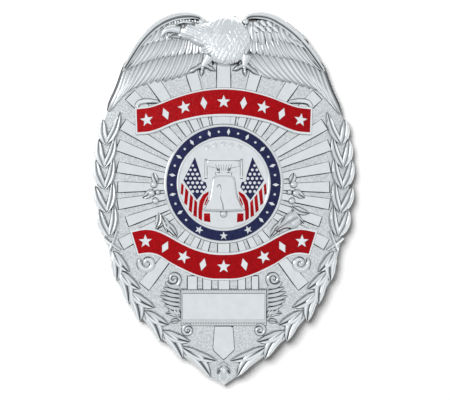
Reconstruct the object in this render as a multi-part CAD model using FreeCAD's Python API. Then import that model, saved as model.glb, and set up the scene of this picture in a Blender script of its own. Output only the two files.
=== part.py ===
"""A firefighter's breast badge: a struck, crowned metal shield with enamel fills.

The badge lies face up. X runs across it, Y up it and Z out of its face. The origin is on the flat
underside, at the middle of the outline. All sizes are in millimetres.
"""

import FreeCAD, Part
import math
import os

os.makedirs("parts", exist_ok=True)

# Driving sizes
HEIGHT = 82.5
WIDTH = 57.2
EDGE_THICK = 1.9
CROWN = 3.4
WALL = 1.6
RIM_WIDTH = 2.4
SHOULDER_GAP = 6.0
SINK = 0.5
PANEL = 9.6
FIT = 0.04

# Heights of the relief above the crowned face
RAY_RISE = 0.22
RIBBON_FLOOR = 0.55
RIBBON_ENAMEL = 0.80
RIBBON_EDGE = 0.95
PANEL_RISE = 0.60
PANEL_FRAME_RISE = 0.40

# The centre seal
SEAL_Y = 3.35
SEAL_R = 13.2
SEAL_LIP = 12.55
SEAL_INNER = 10.35
SEAL_FIELD = 9.9
SEAL_SIDES = 28
SEAL_SEAT = 4.35
SEAL_RISE = 0.40
SEAL_GROUND = 0.30
SEAL_STARS = (-28.0, 0.0, 28.0)
SEAL_STAR_R = 0.85
ENAMEL_DEPTH = 0.22

# Rays meet at one point and step round it
RAY_Y = 2.6
RAY_START = 12.0
RAY_SPREAD = 5.6
TOP_RAY = 1.45

# Feathers
PRIMARY_RISE = 0.50
FEATHER_GROOVE = 0.28
FEATHER_NOTCH = 0.55
FEATHER_LAP = 0.18
SCALE_STEP = 0.14

# The pin behind
PIN_BAR = (4.0, 32.0, 0.6)
PIN_SEAT = 3.10
PIN_STEM_R = 0.5
PIN_STEM_Z = 1.35
BOSS_TOP = 4.3

# Half of the outline from the bottom point up the left side, to where the wing begins
SIDE = [
    (-3.7, -37.9), (-9.6, -33.5), (-15.2, -28.9), (-20.0, -23.2), (-23.5, -17.9), (-25.1, -12.6),
    (-26.1, -7.5), (-27.5, -1.8), (-28.0, 5.3), (-27.5, 12.1), (-26.4, 17.4), (-24.3, 23.4), (-22.7, 28.7),
]
LEFT_SHOULDER = [
    (-20.9, 31.8), (-18.0, 36.0), (-14.1, 39.4), (-10.5, 41.1), (-6.3, 41.0), (-4.6, 39.5),
]
RIGHT_SHOULDER = [
    (4.5, 39.5), (5.8, 40.6), (9.3, 41.1), (12.4, 39.5), (16.8, 36.1), (20.1, 32.0),
]

# Leaf pairs of the left wreath branches: where each pair grows, its inner tip and its outer tip
UPPER_LEAVES = [
    ((-25.2, -8.4), (-24.2, -1.3), (-27.5, -2.2)),
    ((-25.7, -3.1), (-24.5, 4.0), (-28.4, 2.9)),
    ((-26.2, 2.1), (-24.4, 9.0), (-28.3, 8.6)),
    ((-26.4, 6.8), (-24.0, 13.7), (-27.6, 13.2)),
    ((-26.0, 11.9), (-22.9, 19.2), (-26.7, 17.6)),
]
LOWER_LEAVES = [
    ((-24.4, -11.5), (-20.9, -16.1), (-23.6, -18.1)),
    ((-22.9, -15.9), (-18.5, -19.9), (-20.9, -23.2)),
    ((-20.6, -20.5), (-15.2, -24.0), (-18.4, -27.1)),
    ((-17.4, -24.7), (-12.1, -27.8), (-13.8, -31.5)),
    ((-13.4, -29.1), (-7.4, -31.5), (-9.0, -35.3)),
    ((-9.3, -32.6), (-1.5, -35.7), (-2.8, -39.3)),
]
STEMS = [
    [(-26.4, -8.6), (-25.1, -9.7), (-22.9, -11.3)],
    [(-23.6, -7.1), (-24.6, -9.9), (-25.2, -11.4)],
]
LEAF_HALF_WIDTH = 0.95
LEAF_CREST = 1.15
LEAF_SHOULDER = 0.45

# Feather rows of each wing: the line of roots, the line of tips, how many, and how high
LEFT_WING = [
    ([(-22.3, 28.9), (-18.5, 30.5), (-12.9, 31.8), (-5.2, 32.4)],
     [(-25.6, 19.4), (-22.4, 23.2), (-17.8, 25.2), (-12.3, 26.2), (-7.0, 27.8)], 13, PRIMARY_RISE),
    ([(-18.4, 35.2), (-16.3, 35.6), (-12.0, 35.7), (-7.4, 35.0), (-5.4, 34.2)],
     [(-22.4, 28.3), (-18.5, 29.9), (-12.9, 31.3), (-5.0, 31.9)], 11, 0.85),
    ([(-16.8, 37.2), (-13.8, 39.2)], [(-18.7, 34.0), (-14.0, 34.7)], 4, 1.15),
]
RIGHT_WING = [
    ([(5.2, 32.0), (11.3, 32.4), (15.7, 31.4), (22.3, 28.9)],
     [(10.4, 26.6), (14.6, 25.7), (19.9, 24.3), (22.4, 23.2), (25.9, 18.8)], 12, PRIMARY_RISE),
    ([(5.8, 35.6), (8.4, 34.6), (12.9, 35.4), (18.2, 34.8)],
     [(5.2, 31.9), (9.5, 31.6), (14.6, 30.9), (18.6, 30.0), (22.4, 28.3)], 12, 0.85),
    ([(5.6, 38.2), (8.2, 39.4), (12.0, 39.0), (16.6, 36.0)],
     [(6.0, 35.2), (8.4, 33.7), (12.9, 34.6), (18.8, 33.9)], 9, 1.15),
]
LEFT_ARCH = [
    (-4.9, 39.2), (-5.6, 40.1), (-8.2, 40.4), (-11.4, 39.9), (-14.9, 38.1), (-18.3, 34.6), (-21.9, 28.9),
]
RIGHT_ARCH = [
    (4.9, 39.2), (5.6, 40.2), (8.4, 40.4), (11.2, 39.6), (15.2, 36.9), (18.6, 33.3), (21.9, 28.6),
]
ARCH_HALF_WIDTHS = [0.35, 0.75, 0.85, 0.80, 0.65, 0.55, 0.40]
ARCH_CREST = 1.75

# Lower edge of each polished band, in degrees up from the level on the left, and how far it reaches
RAYS = [
    (71.6, 27.0), (53.7, 28.5), (41.8, 29.0), (29.2, 26.2), (19.0, 25.1), (8.0, 23.8),
    (-2.7, 23.3), (-11.9, 23.6), (-22.4, 22.6), (-31.9, 25.9), (-54.0, 28.0),
]

# Half of each ribbon: distance from the middle and height of its top edge, then of its bottom edge
UPPER_RIBBON = [
    ((0.0, 24.1), (0.0, 18.6)), ((4.1, 23.8), (4.1, 18.4)), ((7.5, 23.1), (7.5, 17.8)),
    ((10.8, 22.1), (10.8, 16.9)), ((14.1, 20.8), (14.1, 15.5)), ((16.4, 20.1), (16.4, 14.8)),
    ((19.2, 19.8), (19.0, 14.6)),
]
LOWER_RIBBON = [
    ((0.0, -12.2), (0.0, -17.5)), ((3.1, -12.0), (3.1, -17.4)), ((6.4, -11.1), (6.3, -16.5)),
    ((9.3, -9.8), (9.2, -15.2)), ((12.0, -8.3), (11.7, -13.9)), ((14.6, -7.1), (14.2, -12.3)),
    ((17.2, -6.7), (16.4, -11.8)), ((20.2, -7.3), (18.7, -12.1)),
]
RIBBON_BORDER = 0.40
RIBBON_MARKS = 9
STAR_R = 1.45
LOZENGE = (0.75, 1.35)

RIBBON_CURL = [(-19.2, 20.7), (-17.4, 21.5), (-14.6, 21.7)]

# The raised eagle
BODY = (0.5, 34.9)
BODY_R = 5.6
HEAD = [
    (-10.4, 38.7), (-8.8, 39.2), (-6.5, 39.2), (-4.0, 38.9), (-2.2, 37.6), (-2.0, 35.0),
    (-3.8, 32.8), (-5.2, 32.3), (-6.0, 33.8), (-7.6, 34.7), (-10.4, 35.2), (-10.8, 36.8),
]
BEAK = [(-9.8, 37.3), (-11.6, 37.5), (-13.0, 36.9), (-13.9, 35.6)]
LEGS = [((-3.2, 31.4), (-4.6, 29.3)), ((5.0, 31.6), (4.5, 29.3))]
TOES = [
    ((-4.6, 29.6), (-8.2, 27.6)), ((-4.6, 29.4), (-5.0, 27.0)), ((-4.3, 29.6), (-1.8, 28.2)),
    ((4.4, 29.5), (1.9, 28.3)), ((4.5, 29.4), (4.8, 27.0)), ((4.7, 29.6), (7.9, 27.2)),
]

# Flags on the seal, left one: the dark field and the stripes
CANTON = [(-6.3, 9.3), (-8.9, 4.1), (-5.9, -0.3), (-3.6, 2.6), (-3.9, 3.7), (-4.8, 4.0), (-5.0, 5.3)]
STRIPES = [
    [(-9.2, 3.3), (-8.7, 2.6), (-8.9, -0.6), (-9.4, 1.2)],
    [(-8.4, 1.9), (-7.8, 1.1), (-8.1, -2.2), (-8.7, -1.0)],
    [(-7.5, 1.0), (-6.9, 0.1), (-7.2, -3.3), (-7.8, -2.7)],
    [(-6.6, -0.4), (-5.9, -0.9), (-6.1, -4.2), (-6.8, -3.8)],
    [(-3.2, 1.8), (-4.3, 0.9), (-5.2, -0.9), (-5.6, -4.4), (-4.9, -4.7), (-4.7, -1.8), (-4.1, 0.0)],
    [(-3.25, 1.0), (-3.95, 0.0), (-4.4, -1.5), (-3.75, -0.7)],
    [(-4.2, -3.1), (-3.1, -3.1), (-3.1, -5.3), (-4.2, -5.0)],
]
BELL = [
    (-1.2, 5.4), (-2.4, 4.7), (-2.8, 2.5), (-3.2, 0.2), (-4.1, -1.8), (-4.2, -2.8),
    (4.2, -2.8), (4.1, -1.8), (3.2, 0.2), (2.8, 2.5), (2.4, 4.7), (1.2, 5.4),
]
YOKE = [(-3.9, 8.5), (-3.9, 7.2), (-1.2, 6.6), (-0.8, 5.2), (0.8, 5.2), (1.2, 6.6), (3.9, 7.2), (3.9, 8.5)]

# Fruit and leaves that flank the seal on its left
FRUITS = [(-15.4, 3.2), (-15.9, 1.3), (-15.0, -0.4)]
FRUIT_R = 0.85
SPRAYS = [
    ((-15.0, -1.6), (-19.0, -3.2)), ((-14.9, -2.4), (-17.7, -5.4)), ((-14.2, -3.0), (-15.0, -6.6)),
    ((-13.4, -4.0), (-12.3, -7.4)), ((-15.6, 2.2), (-17.9, 0.2)),
]

# Number panel and the scrollwork beside it
PLAQUE = (-9.2, 9.2, -26.7, -20.5)
PLAQUE_FRAME = (-10.0, 10.0, -28.0, -19.7)
RIB_TOP = -18.9
RIB_PITCH = 0.95
RIB_REACH = [12.9, 13.3, 13.7, 14.0, 13.6, 13.0, 12.0]
VOLUTES = [((-10.7, -17.7), 1.25), ((-7.9, -28.9), 1.15), ((-16.7, -13.9), 1.9)]
TAIL = [(-2.1, -27.8), (-2.5, -33.3), (0.0, -35.7), (2.5, -33.3), (2.1, -27.8)]
BUD = [(0.0, -35.9), (-1.4, -36.9), (-1.1, -39.4), (0.0, -41.25), (1.1, -39.4), (1.4, -36.9)]


def crown(x, y):
    """Height of the crowned face above the flat underside."""
    return EDGE_THICK + CROWN * (1 - (2 * x / WIDTH) ** 2 - (2 * y / HEIGHT) ** 2)


def flat_face(points):
    return Part.Face(Part.makePolygon(points + points[:1]))


def closed(faces):
    solid = Part.Solid(Part.Shell(faces))
    if solid.Volume < 0:
        solid.reverse()
    return solid


def tangent(points):
    """The flat plane that touches the crowned face in the middle of some points."""
    mid_x = sum(p[0] for p in points) / len(points)
    mid_y = sum(p[1] for p in points) / len(points)
    slope_x = -8 * CROWN * mid_x / WIDTH ** 2
    slope_y = -8 * CROWN * mid_y / HEIGHT ** 2
    return lambda x, y: crown(mid_x, mid_y) + slope_x * (x - mid_x) + slope_y * (y - mid_y)


def raised(tops, edge, floor=None, under=None):
    """A relief piece. Each point is x, y and its rise over the crowned face.

    Its walls run down to a level floor, or to a constant depth under the face, or else to a
    tilted plane just inside the metal.
    """
    plane = tangent(edge)

    def top(p):
        return FreeCAD.Vector(p[0], p[1], crown(p[0], p[1]) + p[2])

    def low(p):
        if floor is not None:
            return FreeCAD.Vector(p[0], p[1], floor)
        if under is not None:
            return FreeCAD.Vector(p[0], p[1], crown(p[0], p[1]) + under)
        return FreeCAD.Vector(p[0], p[1], plane(p[0], p[1]) - SINK)

    faces = [flat_face([top(p) for p in skin]) for skin in tops]
    for a, b in zip(edge, edge[1:] + edge[:1]):
        faces.append(flat_face([top(a), top(b), low(b), low(a)]))
    if under is None:
        faces.append(flat_face([low(p) for p in edge]))
    else:
        faces += [flat_face([low(p) for p in skin]) for skin in tops]
    return closed(faces)


def resample(line, count):
    """Evenly spaced points along a line of straight runs."""
    runs = [math.dist(a, b) for a, b in zip(line, line[1:])]
    total = sum(runs)
    points = []
    for k in range(count):
        left = total * k / (count - 1)
        for run, a, b in zip(runs, line, line[1:]):
            if left <= run + 1e-9:
                break
            left -= run
        share = min(left / run, 1.0)
        points.append((a[0] + share * (b[0] - a[0]), a[1] + share * (b[1] - a[1])))
    return points


def towards(a, b, distance):
    """The point that lies a distance from a on the way to b."""
    share = distance / math.dist(a, b)
    return (a[0] + share * (b[0] - a[0]), a[1] + share * (b[1] - a[1]))


def blade(spine, half_widths, crests, shoulder, floor=None):
    """A ridged strip along a spine, such as a leaf, quill, beak or rib. A zero width is a point."""
    rows = []
    for i, (x, y) in enumerate(spine):
        before = spine[max(i - 1, 0)]
        after = spine[min(i + 1, len(spine) - 1)]
        run = math.dist(before, after)
        nx, ny = -(after[1] - before[1]) / run, (after[0] - before[0]) / run
        w = half_widths[i]
        if w == 0:
            rows.append([(x, y, crests[i])])
        else:
            left = (x + w * nx, y + w * ny, shoulder)
            right = (x - w * nx, y - w * ny, shoulder)
            rows.append([left, (x, y, crests[i]), right])
    tops = []
    for a, b in zip(rows, rows[1:]):
        if len(a) == 1:
            tops += [(a[0], b[1], b[0]), (a[0], b[2], b[1])]
        elif len(b) == 1:
            tops += [(a[0], a[1], b[0]), (a[1], a[2], b[0])]
        else:
            tops += [(a[0], a[1], b[0]), (a[1], b[1], b[0]), (a[1], a[2], b[1]), (a[2], b[2], b[1])]
    lefts = [row[0] for row in rows]
    rights = [row[2] for row in rows[::-1] if len(row) > 1]
    ends = [row[1] for row in rows[-1:] if len(row) > 1]
    starts = [row[1] for row in rows[:1] if len(row) > 1]
    return raised(tops, lefts + ends + rights + starts, floor)


def leaf(root, tip, half_width, crest, shoulder, floor=None, shares=(0.33, 0.68)):
    """A pointed leaf, widest a little before its middle."""
    middle = [towards(root, tip, share * math.dist(root, tip)) for share in shares]
    widths = [half_width, 0.8 * half_width][:len(shares)]
    crests = [crest, 0.9 * crest][:len(shares)]
    spine = [root] + middle + [tip]
    return blade(spine, [0] + widths + [0], [0.7 * crest] + crests + [shoulder], shoulder, floor)


def mound(centre, outline, levels, floor=None, under=None):
    """Rings of one outline, drawn in step by step: each level is a share of the outline and a rise."""
    rings = []
    for share, rise in [level for level in levels if level[0] > 0]:
        rings.append([
            (centre[0] + share * (x - centre[0]), centre[1] + share * (y - centre[1]), rise) for x, y in outline
        ])
    count = len(outline)
    tops = []
    for outer, inner in zip(rings, rings[1:]):
        for i in range(count):
            j = (i + 1) % count
            tops += [(outer[i], outer[j], inner[j]), (outer[i], inner[j], inner[i])]
    peak = (centre[0], centre[1], levels[-1][1])
    tops += [(rings[-1][i], rings[-1][(i + 1) % count], peak) for i in range(count)]
    return raised(tops, rings[0], floor, under)


def ring_points(centre, radius, sides, turn=0.0):
    steps = [turn + 2 * math.pi * i / sides for i in range(sides)]
    return [(centre[0] + radius * math.cos(a), centre[1] + radius * math.sin(a)) for a in steps]


def star_points(centre, radius, tilt=0.0):
    """Outline of a five-pointed star, one point up."""
    points = []
    for i in range(10):
        reach = radius if i % 2 == 0 else radius * 0.42
        angle = math.pi / 2 + tilt + i * math.pi / 5
        points.append((centre[0] + reach * math.cos(angle), centre[1] + reach * math.sin(angle)))
    return points


def lozenge_points(centre, half_sizes, tilt=0.0):
    points = []
    for dx, dy in ((half_sizes[0], 0), (0, half_sizes[1]), (-half_sizes[0], 0), (0, -half_sizes[1])):
        x = dx * math.cos(tilt) - dy * math.sin(tilt)
        y = dx * math.sin(tilt) + dy * math.cos(tilt)
        points.append((centre[0] + x, centre[1] + y))
    return points


def prism(outline, low, high):
    """An upright block with the given outline."""
    base = flat_face([FreeCAD.Vector(x, y, low) for x, y in outline])
    return base.extrude(FreeCAD.Vector(0, 0, high - low))


def grown(outline, centre, gap):
    """The outline moved away from its centre by a gap."""
    return [towards(centre, p, math.dist(centre, p) + gap) for p in outline]


def mirrored(shape):
    return shape.mirror(FreeCAD.Vector(0, 0, 0), FreeCAD.Vector(1, 0, 0))


def crowned_block(drop, low=-9.0):
    """A deep block whose crowned top is made of flat panels, so far under the crowned face."""
    nx = 2 * math.ceil(0.5 * (WIDTH + 4) / PANEL)
    ny = 2 * math.ceil(0.5 * (HEIGHT + 4) / PANEL)
    xs = [(i - nx / 2) * PANEL for i in range(nx + 1)]
    ys = [(j - ny / 2) * PANEL for j in range(ny + 1)]

    def top(x, y):
        return FreeCAD.Vector(x, y, crown(x, y) - drop)

    def base(x, y):
        return FreeCAD.Vector(x, y, low)

    faces = []
    for x0, x1 in zip(xs, xs[1:]):
        for y0, y1 in zip(ys, ys[1:]):
            faces.append(flat_face([top(x0, y0), top(x1, y0), top(x1, y1), top(x0, y1)]))
    for y in (ys[0], ys[-1]):
        faces.append(flat_face([base(xs[0], y)] + [top(x, y) for x in xs] + [base(xs[-1], y)]))
    for x in (xs[0], xs[-1]):
        faces.append(flat_face([base(x, ys[0])] + [top(x, y) for y in ys] + [base(x, ys[-1])]))
    faces.append(flat_face([base(xs[0], ys[0]), base(xs[-1], ys[0]), base(xs[-1], ys[-1]), base(xs[0], ys[-1])]))
    return closed(faces)


def outline_points():
    """The whole outline, from the bottom point round to it again."""
    right = [(-x, y) for x, y in SIDE]
    return [(0.0, -41.0)] + right + RIGHT_SHOULDER[::-1] + LEFT_SHOULDER[::-1] + SIDE[::-1]


def band(lefts, rights, rise, under=None):
    """A flat strip between two lines with the same number of points."""
    a = [(x, y, rise) for x, y in lefts]
    b = [(x, y, rise) for x, y in rights]
    tops = []
    for i in range(len(a) - 1):
        tops += [(a[i], a[i + 1], b[i + 1]), (a[i], b[i + 1], b[i])]
    return raised(tops, a + b[::-1], under=under)


def tile(outline, low, high):
    """A flat piece of even thickness that lies along the crowned face."""
    plane = tangent(outline)
    base = flat_face([FreeCAD.Vector(x, y, plane(x, y) + low) for x, y in outline])
    return base.extrude(FreeCAD.Vector(0, 0, high - low))


def feather_row(roots, tips, count, rise, rounded):
    """Feathers side by side: ridged along each quill, notched between the tips."""
    root_line = resample(roots, 2 * count + 1)
    tip_line = resample(tips, 2 * count + 1)
    root_row, tip_row = [], []
    for i, (root, tip) in enumerate(zip(root_line, tip_line)):
        on_quill = i % 2 == 1
        dip = 0 if on_quill else FEATHER_GROOVE
        root_row.append((root[0], root[1], rise - FEATHER_LAP - dip))
        end = tip if on_quill else towards(tip, root, FEATHER_NOTCH)
        tip_row.append((end[0], end[1], rise + FEATHER_LAP - dip))
    corners = []
    for i in range(2 * count):
        tip = ((tip_line[i][0] + tip_line[i + 1][0]) / 2, (tip_line[i][1] + tip_line[i + 1][1]) / 2)
        end = towards(tip, root_line[i], 0.25 * FEATHER_NOTCH)
        corners.append((end[0], end[1], rise + FEATHER_LAP - 0.5 * FEATHER_GROOVE))
    tops, tip_edge = [], [tip_row[0]]
    for i in range(2 * count):
        tops.append((root_row[i], root_row[i + 1], tip_row[i + 1]))
        if rounded:
            tops += [(root_row[i], tip_row[i + 1], corners[i]), (root_row[i], corners[i], tip_row[i])]
            tip_edge.append(corners[i])
        else:
            tops.append((root_row[i], tip_row[i + 1], tip_row[i]))
        tip_edge.append(tip_row[i + 1])
    return raised(tops, root_row + tip_edge[::-1], floor=0)


def scaled_ball(centre, radius, height, rings, count):
    """A breast of small overlapping feathers: each ring is turned half a feather from the last."""
    rows = []
    for k in range(rings):
        share = math.cos(0.5 * math.pi * k / rings)
        level = height * math.sin(0.5 * math.pi * (k + 0.7) / (rings + 0.7))
        row = []
        for i in range(count):
            angle = 2 * math.pi * (i + 0.5 * (k % 2)) / count
            bulge = 1.0 if (i + k) % 2 else 0.94
            x = centre[0] + radius * share * bulge * math.cos(angle)
            y = centre[1] + radius * share * bulge * math.sin(angle)
            row.append((x, y, level + (SCALE_STEP if (i + k) % 2 else 0.0)))
        rows.append(row)
    tops = []
    for k, (outer, inner) in enumerate(zip(rows, rows[1:])):
        for i in range(count):
            j = (i + 1) % count
            if k % 2:
                tops += [(outer[i], outer[j], inner[j]), (outer[i], inner[j], inner[i])]
            else:
                tops += [(outer[i], outer[j], inner[i]), (outer[j], inner[j], inner[i])]
    peak = (centre[0], centre[1], height)
    tops += [(rows[-1][i], rows[-1][(i + 1) % count], peak) for i in range(count)]
    return raised(tops, rows[0], floor=0)


def drawn_in(loop, gap):
    """A loop with every side moved inwards by a gap."""
    area = sum(a[0] * b[1] - b[0] * a[1] for a, b in zip(loop, loop[1:] + loop[:1]))
    if area < 0:
        loop = loop[::-1]
    points = []
    for before, here, after in zip(loop[-1:] + loop[:-1], loop, loop[1:] + loop[:1]):
        sides = []
        for a, b in ((before, here), (here, after)):
            run = math.dist(a, b)
            sides.append((-(b[1] - a[1]) / run, (b[0] - a[0]) / run))
        (ax, ay), (bx, by) = sides
        share = gap / (1 + ax * bx + ay * by)
        points.append((here[0] + share * (ax + bx), here[1] + share * (ay + by)))
    return points


def shell():
    """The crowned shield before it is hollowed, and the room behind it."""
    solid = crowned_block(0).common(prism(outline_points(), 0, 12))
    loop = [(x, y) for x, y in outline_points() if not abs(x) < SHOULDER_GAP < y]
    return solid, crowned_block(WALL).common(prism(drawn_in(loop, RIM_WIDTH), -1, 12))


def wreath():
    """Both branches of one side, mirrored to the other."""
    pieces = []
    for root, inner, outer in UPPER_LEAVES + LOWER_LEAVES:
        for tip in (inner, outer):
            floor = 0 if tip == outer else None
            shares = (0.33, 0.68) if tip[1] < root[1] else (0.45,)
            pieces.append(leaf(root, tip, LEAF_HALF_WIDTH, LEAF_CREST, LEAF_SHOULDER, floor, shares))
    for stem in STEMS:
        pieces.append(blade(stem, [0.3, 0.4, 0.3], [1.0, 1.1, 1.0], LEAF_SHOULDER))
    return pieces + [mirrored(piece) for piece in pieces]


def rays():
    """Polished bands that step round the seal."""
    pieces = []
    for angle, reach in RAYS:
        radii = [RAY_START, (RAY_START + reach) / 2, reach]
        edges = []
        for turn in (angle, angle + RAY_SPREAD):
            c, s = -math.cos(math.radians(turn)), math.sin(math.radians(turn))
            edges.append([(r * c, RAY_Y + r * s) for r in radii])
        pieces.append(band(edges[0], edges[1], RAY_RISE))
    pieces += [mirrored(piece) for piece in pieces]
    ys = [SEAL_Y + SEAL_R - 1, 21.0, 26.0, 31.0]
    pieces.append(band([(-TOP_RAY, y) for y in ys], [(TOP_RAY, y) for y in ys], RAY_RISE))
    ys = [SEAL_Y - SEAL_R + 1, -14.0, -18.0, -21.0]
    pieces.append(band([(-TOP_RAY * 0.85, y) for y in ys], [(TOP_RAY * 0.85, y) for y in ys], RAY_RISE))
    return pieces


def ribbon_lines(half, inset):
    """Top and bottom lines of a whole ribbon, drawn in by an inset, or out by a negative one."""
    tops, bottoms = [], []
    for top, bottom in half:
        tops.append(towards(top, bottom, inset))
        bottoms.append(towards(bottom, top, inset))
    tops[-1] = towards(tops[-1], tops[-2], inset)
    bottoms[-1] = towards(bottoms[-1], bottoms[-2], inset)
    return [[(-x, y) for x, y in line[:0:-1]] + line for line in (tops, bottoms)]


def ribbon_marks(half):
    """Where the raised marks stand along a ribbon: middle point and tilt."""
    tops, bottoms = ribbon_lines(half, 0)
    middles = [((a[0] + b[0]) / 2, (a[1] + b[1]) / 2) for a, b in zip(tops, bottoms)]
    line = resample(middles, 2 * RIBBON_MARKS + 1)
    marks = []
    for k in range(RIBBON_MARKS):
        before, here, after = line[2 * k], line[2 * k + 1], line[2 * k + 2]
        marks.append((here, math.atan2(after[1] - before[1], after[0] - before[0])))
    return marks


def ribbon(half):
    """A ribbon of metal with a sunk floor, its raised marks, and the enamel that fills it."""
    metal = band(*ribbon_lines(half, -RIBBON_BORDER), RIBBON_EDGE, under=-SINK)
    metal = metal.cut(band(*ribbon_lines(half, 0), RIBBON_EDGE + 1, under=RIBBON_FLOOR))
    enamel = band(*ribbon_lines(half, FIT), RIBBON_ENAMEL, under=RIBBON_FLOOR + FIT)
    pieces, holes = [], []
    for k, (here, tilt) in enumerate(ribbon_marks(half)):
        outline = star_points(here, STAR_R, tilt) if k % 2 == 0 else lozenge_points(here, LOZENGE, tilt)
        levels = [(1.0, RIBBON_ENAMEL + 0.05), (0.0, RIBBON_EDGE + 0.15)]
        pieces.append(mound(here, outline, levels))
        holes.append(prism(grown(outline, here, FIT), 0, 12))
    return [metal] + pieces, enamel.cut(holes)


def eagle():
    """Body, turned head, hooked beak, wings, legs and claws."""
    pieces = [
        scaled_ball(BODY, BODY_R, 2.7, 5, 18),
        mound((-6.6, 36.9), HEAD, [(1.0, 1.35), (0.8, 2.1), (0.45, 2.6), (0.0, 2.75)]),
        blade(BEAK, [1.05, 0.9, 0.55, 0], [2.5, 2.4, 2.0, 1.5], 1.3),
        blade([(-10.3, 38.5), (-8.0, 38.7), (-5.6, 38.5)], [0.3, 0.45, 0.3], [2.4, 2.8, 2.5], 1.9),
    ]
    for roots, tips, count, rise in LEFT_WING + RIGHT_WING:
        pieces.append(feather_row(roots, tips, count, rise, rounded=rise == PRIMARY_RISE))
    for arch in (LEFT_ARCH, RIGHT_ARCH):
        pieces.append(blade(arch, ARCH_HALF_WIDTHS, [ARCH_CREST] * 7, ARCH_CREST - 0.4, floor=0))
    for hip, foot in LEGS:
        pieces.append(blade([hip, foot], [1.1, 0.55], [1.9, 1.3], 0.8))
    for heel, claw in TOES:
        pieces.append(leaf(heel, claw, 0.5, 1.25, 0.6))
    return pieces


def scrollwork():
    """Fruit and leaves beside the seal, volutes, ribs and number panel."""
    pieces = [mound(at, ring_points(at, FRUIT_R, 6), [(1, 0.5), (0.6, 1.0), (0, 1.1)]) for at in FRUITS]
    pieces += [leaf(root, tip, 0.8, 1.0, 0.45) for root, tip in SPRAYS]
    for at, radius in VOLUTES:
        levels = [(1, 0.5), (0.75, 0.95), (0.4, 0.55), (0, 0.9)]
        pieces.append(mound(at, ring_points(at, radius, 8), levels))
    for k, reach in enumerate(RIB_REACH):
        y = RIB_TOP - k * RIB_PITCH
        spine = [(-9.6, y - 0.5), (-11.4, y - 0.35), (-reach, y + 0.35)]
        pieces.append(blade(spine, [0.36, 0.36, 0], [0.75, 0.85, 0.5], 0.35))
    pieces.append(blade(RIBBON_CURL, [0.3, 0.55, 0.25], [0.9, 1.0, 0.8], 0.5))
    pieces += [mirrored(piece) for piece in pieces]
    for (x0, x1, y0, y1), rise in ((PLAQUE_FRAME, PANEL_FRAME_RISE), (PLAQUE, PANEL_RISE)):
        corners = [(x0, y0), (x1, y0), (x1, y1), (x0, y1)]
        middle = ((x0 + x1) / 2, (y0 + y1) / 2)
        pieces.append(mound(middle, corners, [(1.0, rise - 0.15), (0.97, rise), (0.5, rise)], under=-SINK))
    pieces.append(mound((0.0, -32.0), TAIL, [(1.0, RAY_RISE + 0.1), (0.9, RAY_RISE + 0.3)]))
    pieces.append(mound((0.0, -38.4), BUD, [(1.0, 0.4), (0.6, 0.8), (0.0, 0.9)], floor=0))
    return pieces


def seal():
    """The round seal: raised lips, the bell in its frame, and the cells for the enamel."""
    centre = (0.0, SEAL_Y)
    ring = ring_points(centre, SEAL_R, SEAL_SIDES)
    low = SEAL_RISE - ENAMEL_DEPTH
    step = 0.08
    radii = [
        (SEAL_R, SEAL_RISE), (SEAL_LIP + step, SEAL_RISE), (SEAL_LIP, low), (SEAL_INNER, low),
        (SEAL_INNER - step, SEAL_RISE), (SEAL_FIELD, SEAL_RISE), (SEAL_FIELD - 0.2, SEAL_GROUND),
        (SEAL_FIELD / 2, SEAL_GROUND),
    ]
    disc = mound(centre, ring, [(r / SEAL_R, rise) for r, rise in radii], floor=SEAL_SEAT + FIT)
    enamel = mound(
        centre, ring_points(centre, SEAL_LIP - FIT, SEAL_SIDES),
        [(1.0, SEAL_RISE - 0.06), (0.8, SEAL_RISE - 0.06)], under=low + FIT,
    )
    enamel = enamel.cut(prism(ring_points(centre, SEAL_INNER + FIT, SEAL_SIDES), 0, 12))
    relief, holes = [], []
    for turn in SEAL_STARS:
        radius = (SEAL_LIP + SEAL_INNER) / 2
        at = (radius * math.sin(math.radians(turn)), SEAL_Y - radius * math.cos(math.radians(turn)))
        outline = star_points(at, SEAL_STAR_R, math.radians(turn))
        relief.append(mound(at, outline, [(1.0, SEAL_RISE), (0.0, SEAL_RISE + 0.15)]))
        holes.append(prism(grown(outline, at, FIT), 0, 12))
    enamel = enamel.cut(holes)
    relief.append(mound((0.0, 1.0), BELL, [(1.0, 0.4), (0.85, 0.75), (0.4, 1.05), (0.0, 1.1)]))
    relief.append(tile(YOKE, -0.2, 0.55))
    for x in (-3.9, 3.9):
        post = [(x - 0.3, 4.4), (x + 0.3, 4.4), (x + 0.3, 8.8), (x - 0.3, 8.8)]
        relief.append(tile(post, -0.2, 0.5))
    disc = disc.multiFuse(relief).removeSplitter()
    cells = {}
    for side in ("left", "right"):
        shapes = [(f"flag_canton_{side}", CANTON)]
        shapes += [(f"flag_stripe_{side}_{i + 1}", stripe) for i, stripe in enumerate(STRIPES)]
        for name, outline in shapes:
            if side == "right":
                outline = [(-x, y) for x, y in outline]
            floor = SEAL_GROUND - ENAMEL_DEPTH
            disc = disc.cut(tile(outline, floor, 3))
            cells[name] = tile(drawn_in(outline, FIT), floor + FIT, SEAL_GROUND + 0.02)
    return disc, enamel, cells


def pin():
    """The fastener behind: a bar with a hinge block, the pin stem and its catch."""
    width, length, thick = PIN_BAR
    low = PIN_SEAT - thick

    def block(x, y0, y1, z0, z1):
        return Part.makeBox(2 * x, y1 - y0, z1 - z0, FreeCAD.Vector(-x, y0, z0))

    bar = block(width / 2, -length / 2, length / 2, low, PIN_SEAT)
    hinge = block(1.5, length / 2 - 2.8, length / 2, PIN_STEM_Z - 0.8, low)
    catch = block(1.3, -length / 2, -length / 2 + 2.6, PIN_STEM_Z - 0.8, low)
    section = [FreeCAD.Vector(x, 1 - length / 2, z) for x, z in ring_points((0, PIN_STEM_Z), PIN_STEM_R, 10)]
    stem = flat_face(section).extrude(FreeCAD.Vector(0, length - 2, 0))
    return bar.multiFuse([hinge, catch, stem]).removeSplitter()


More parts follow.
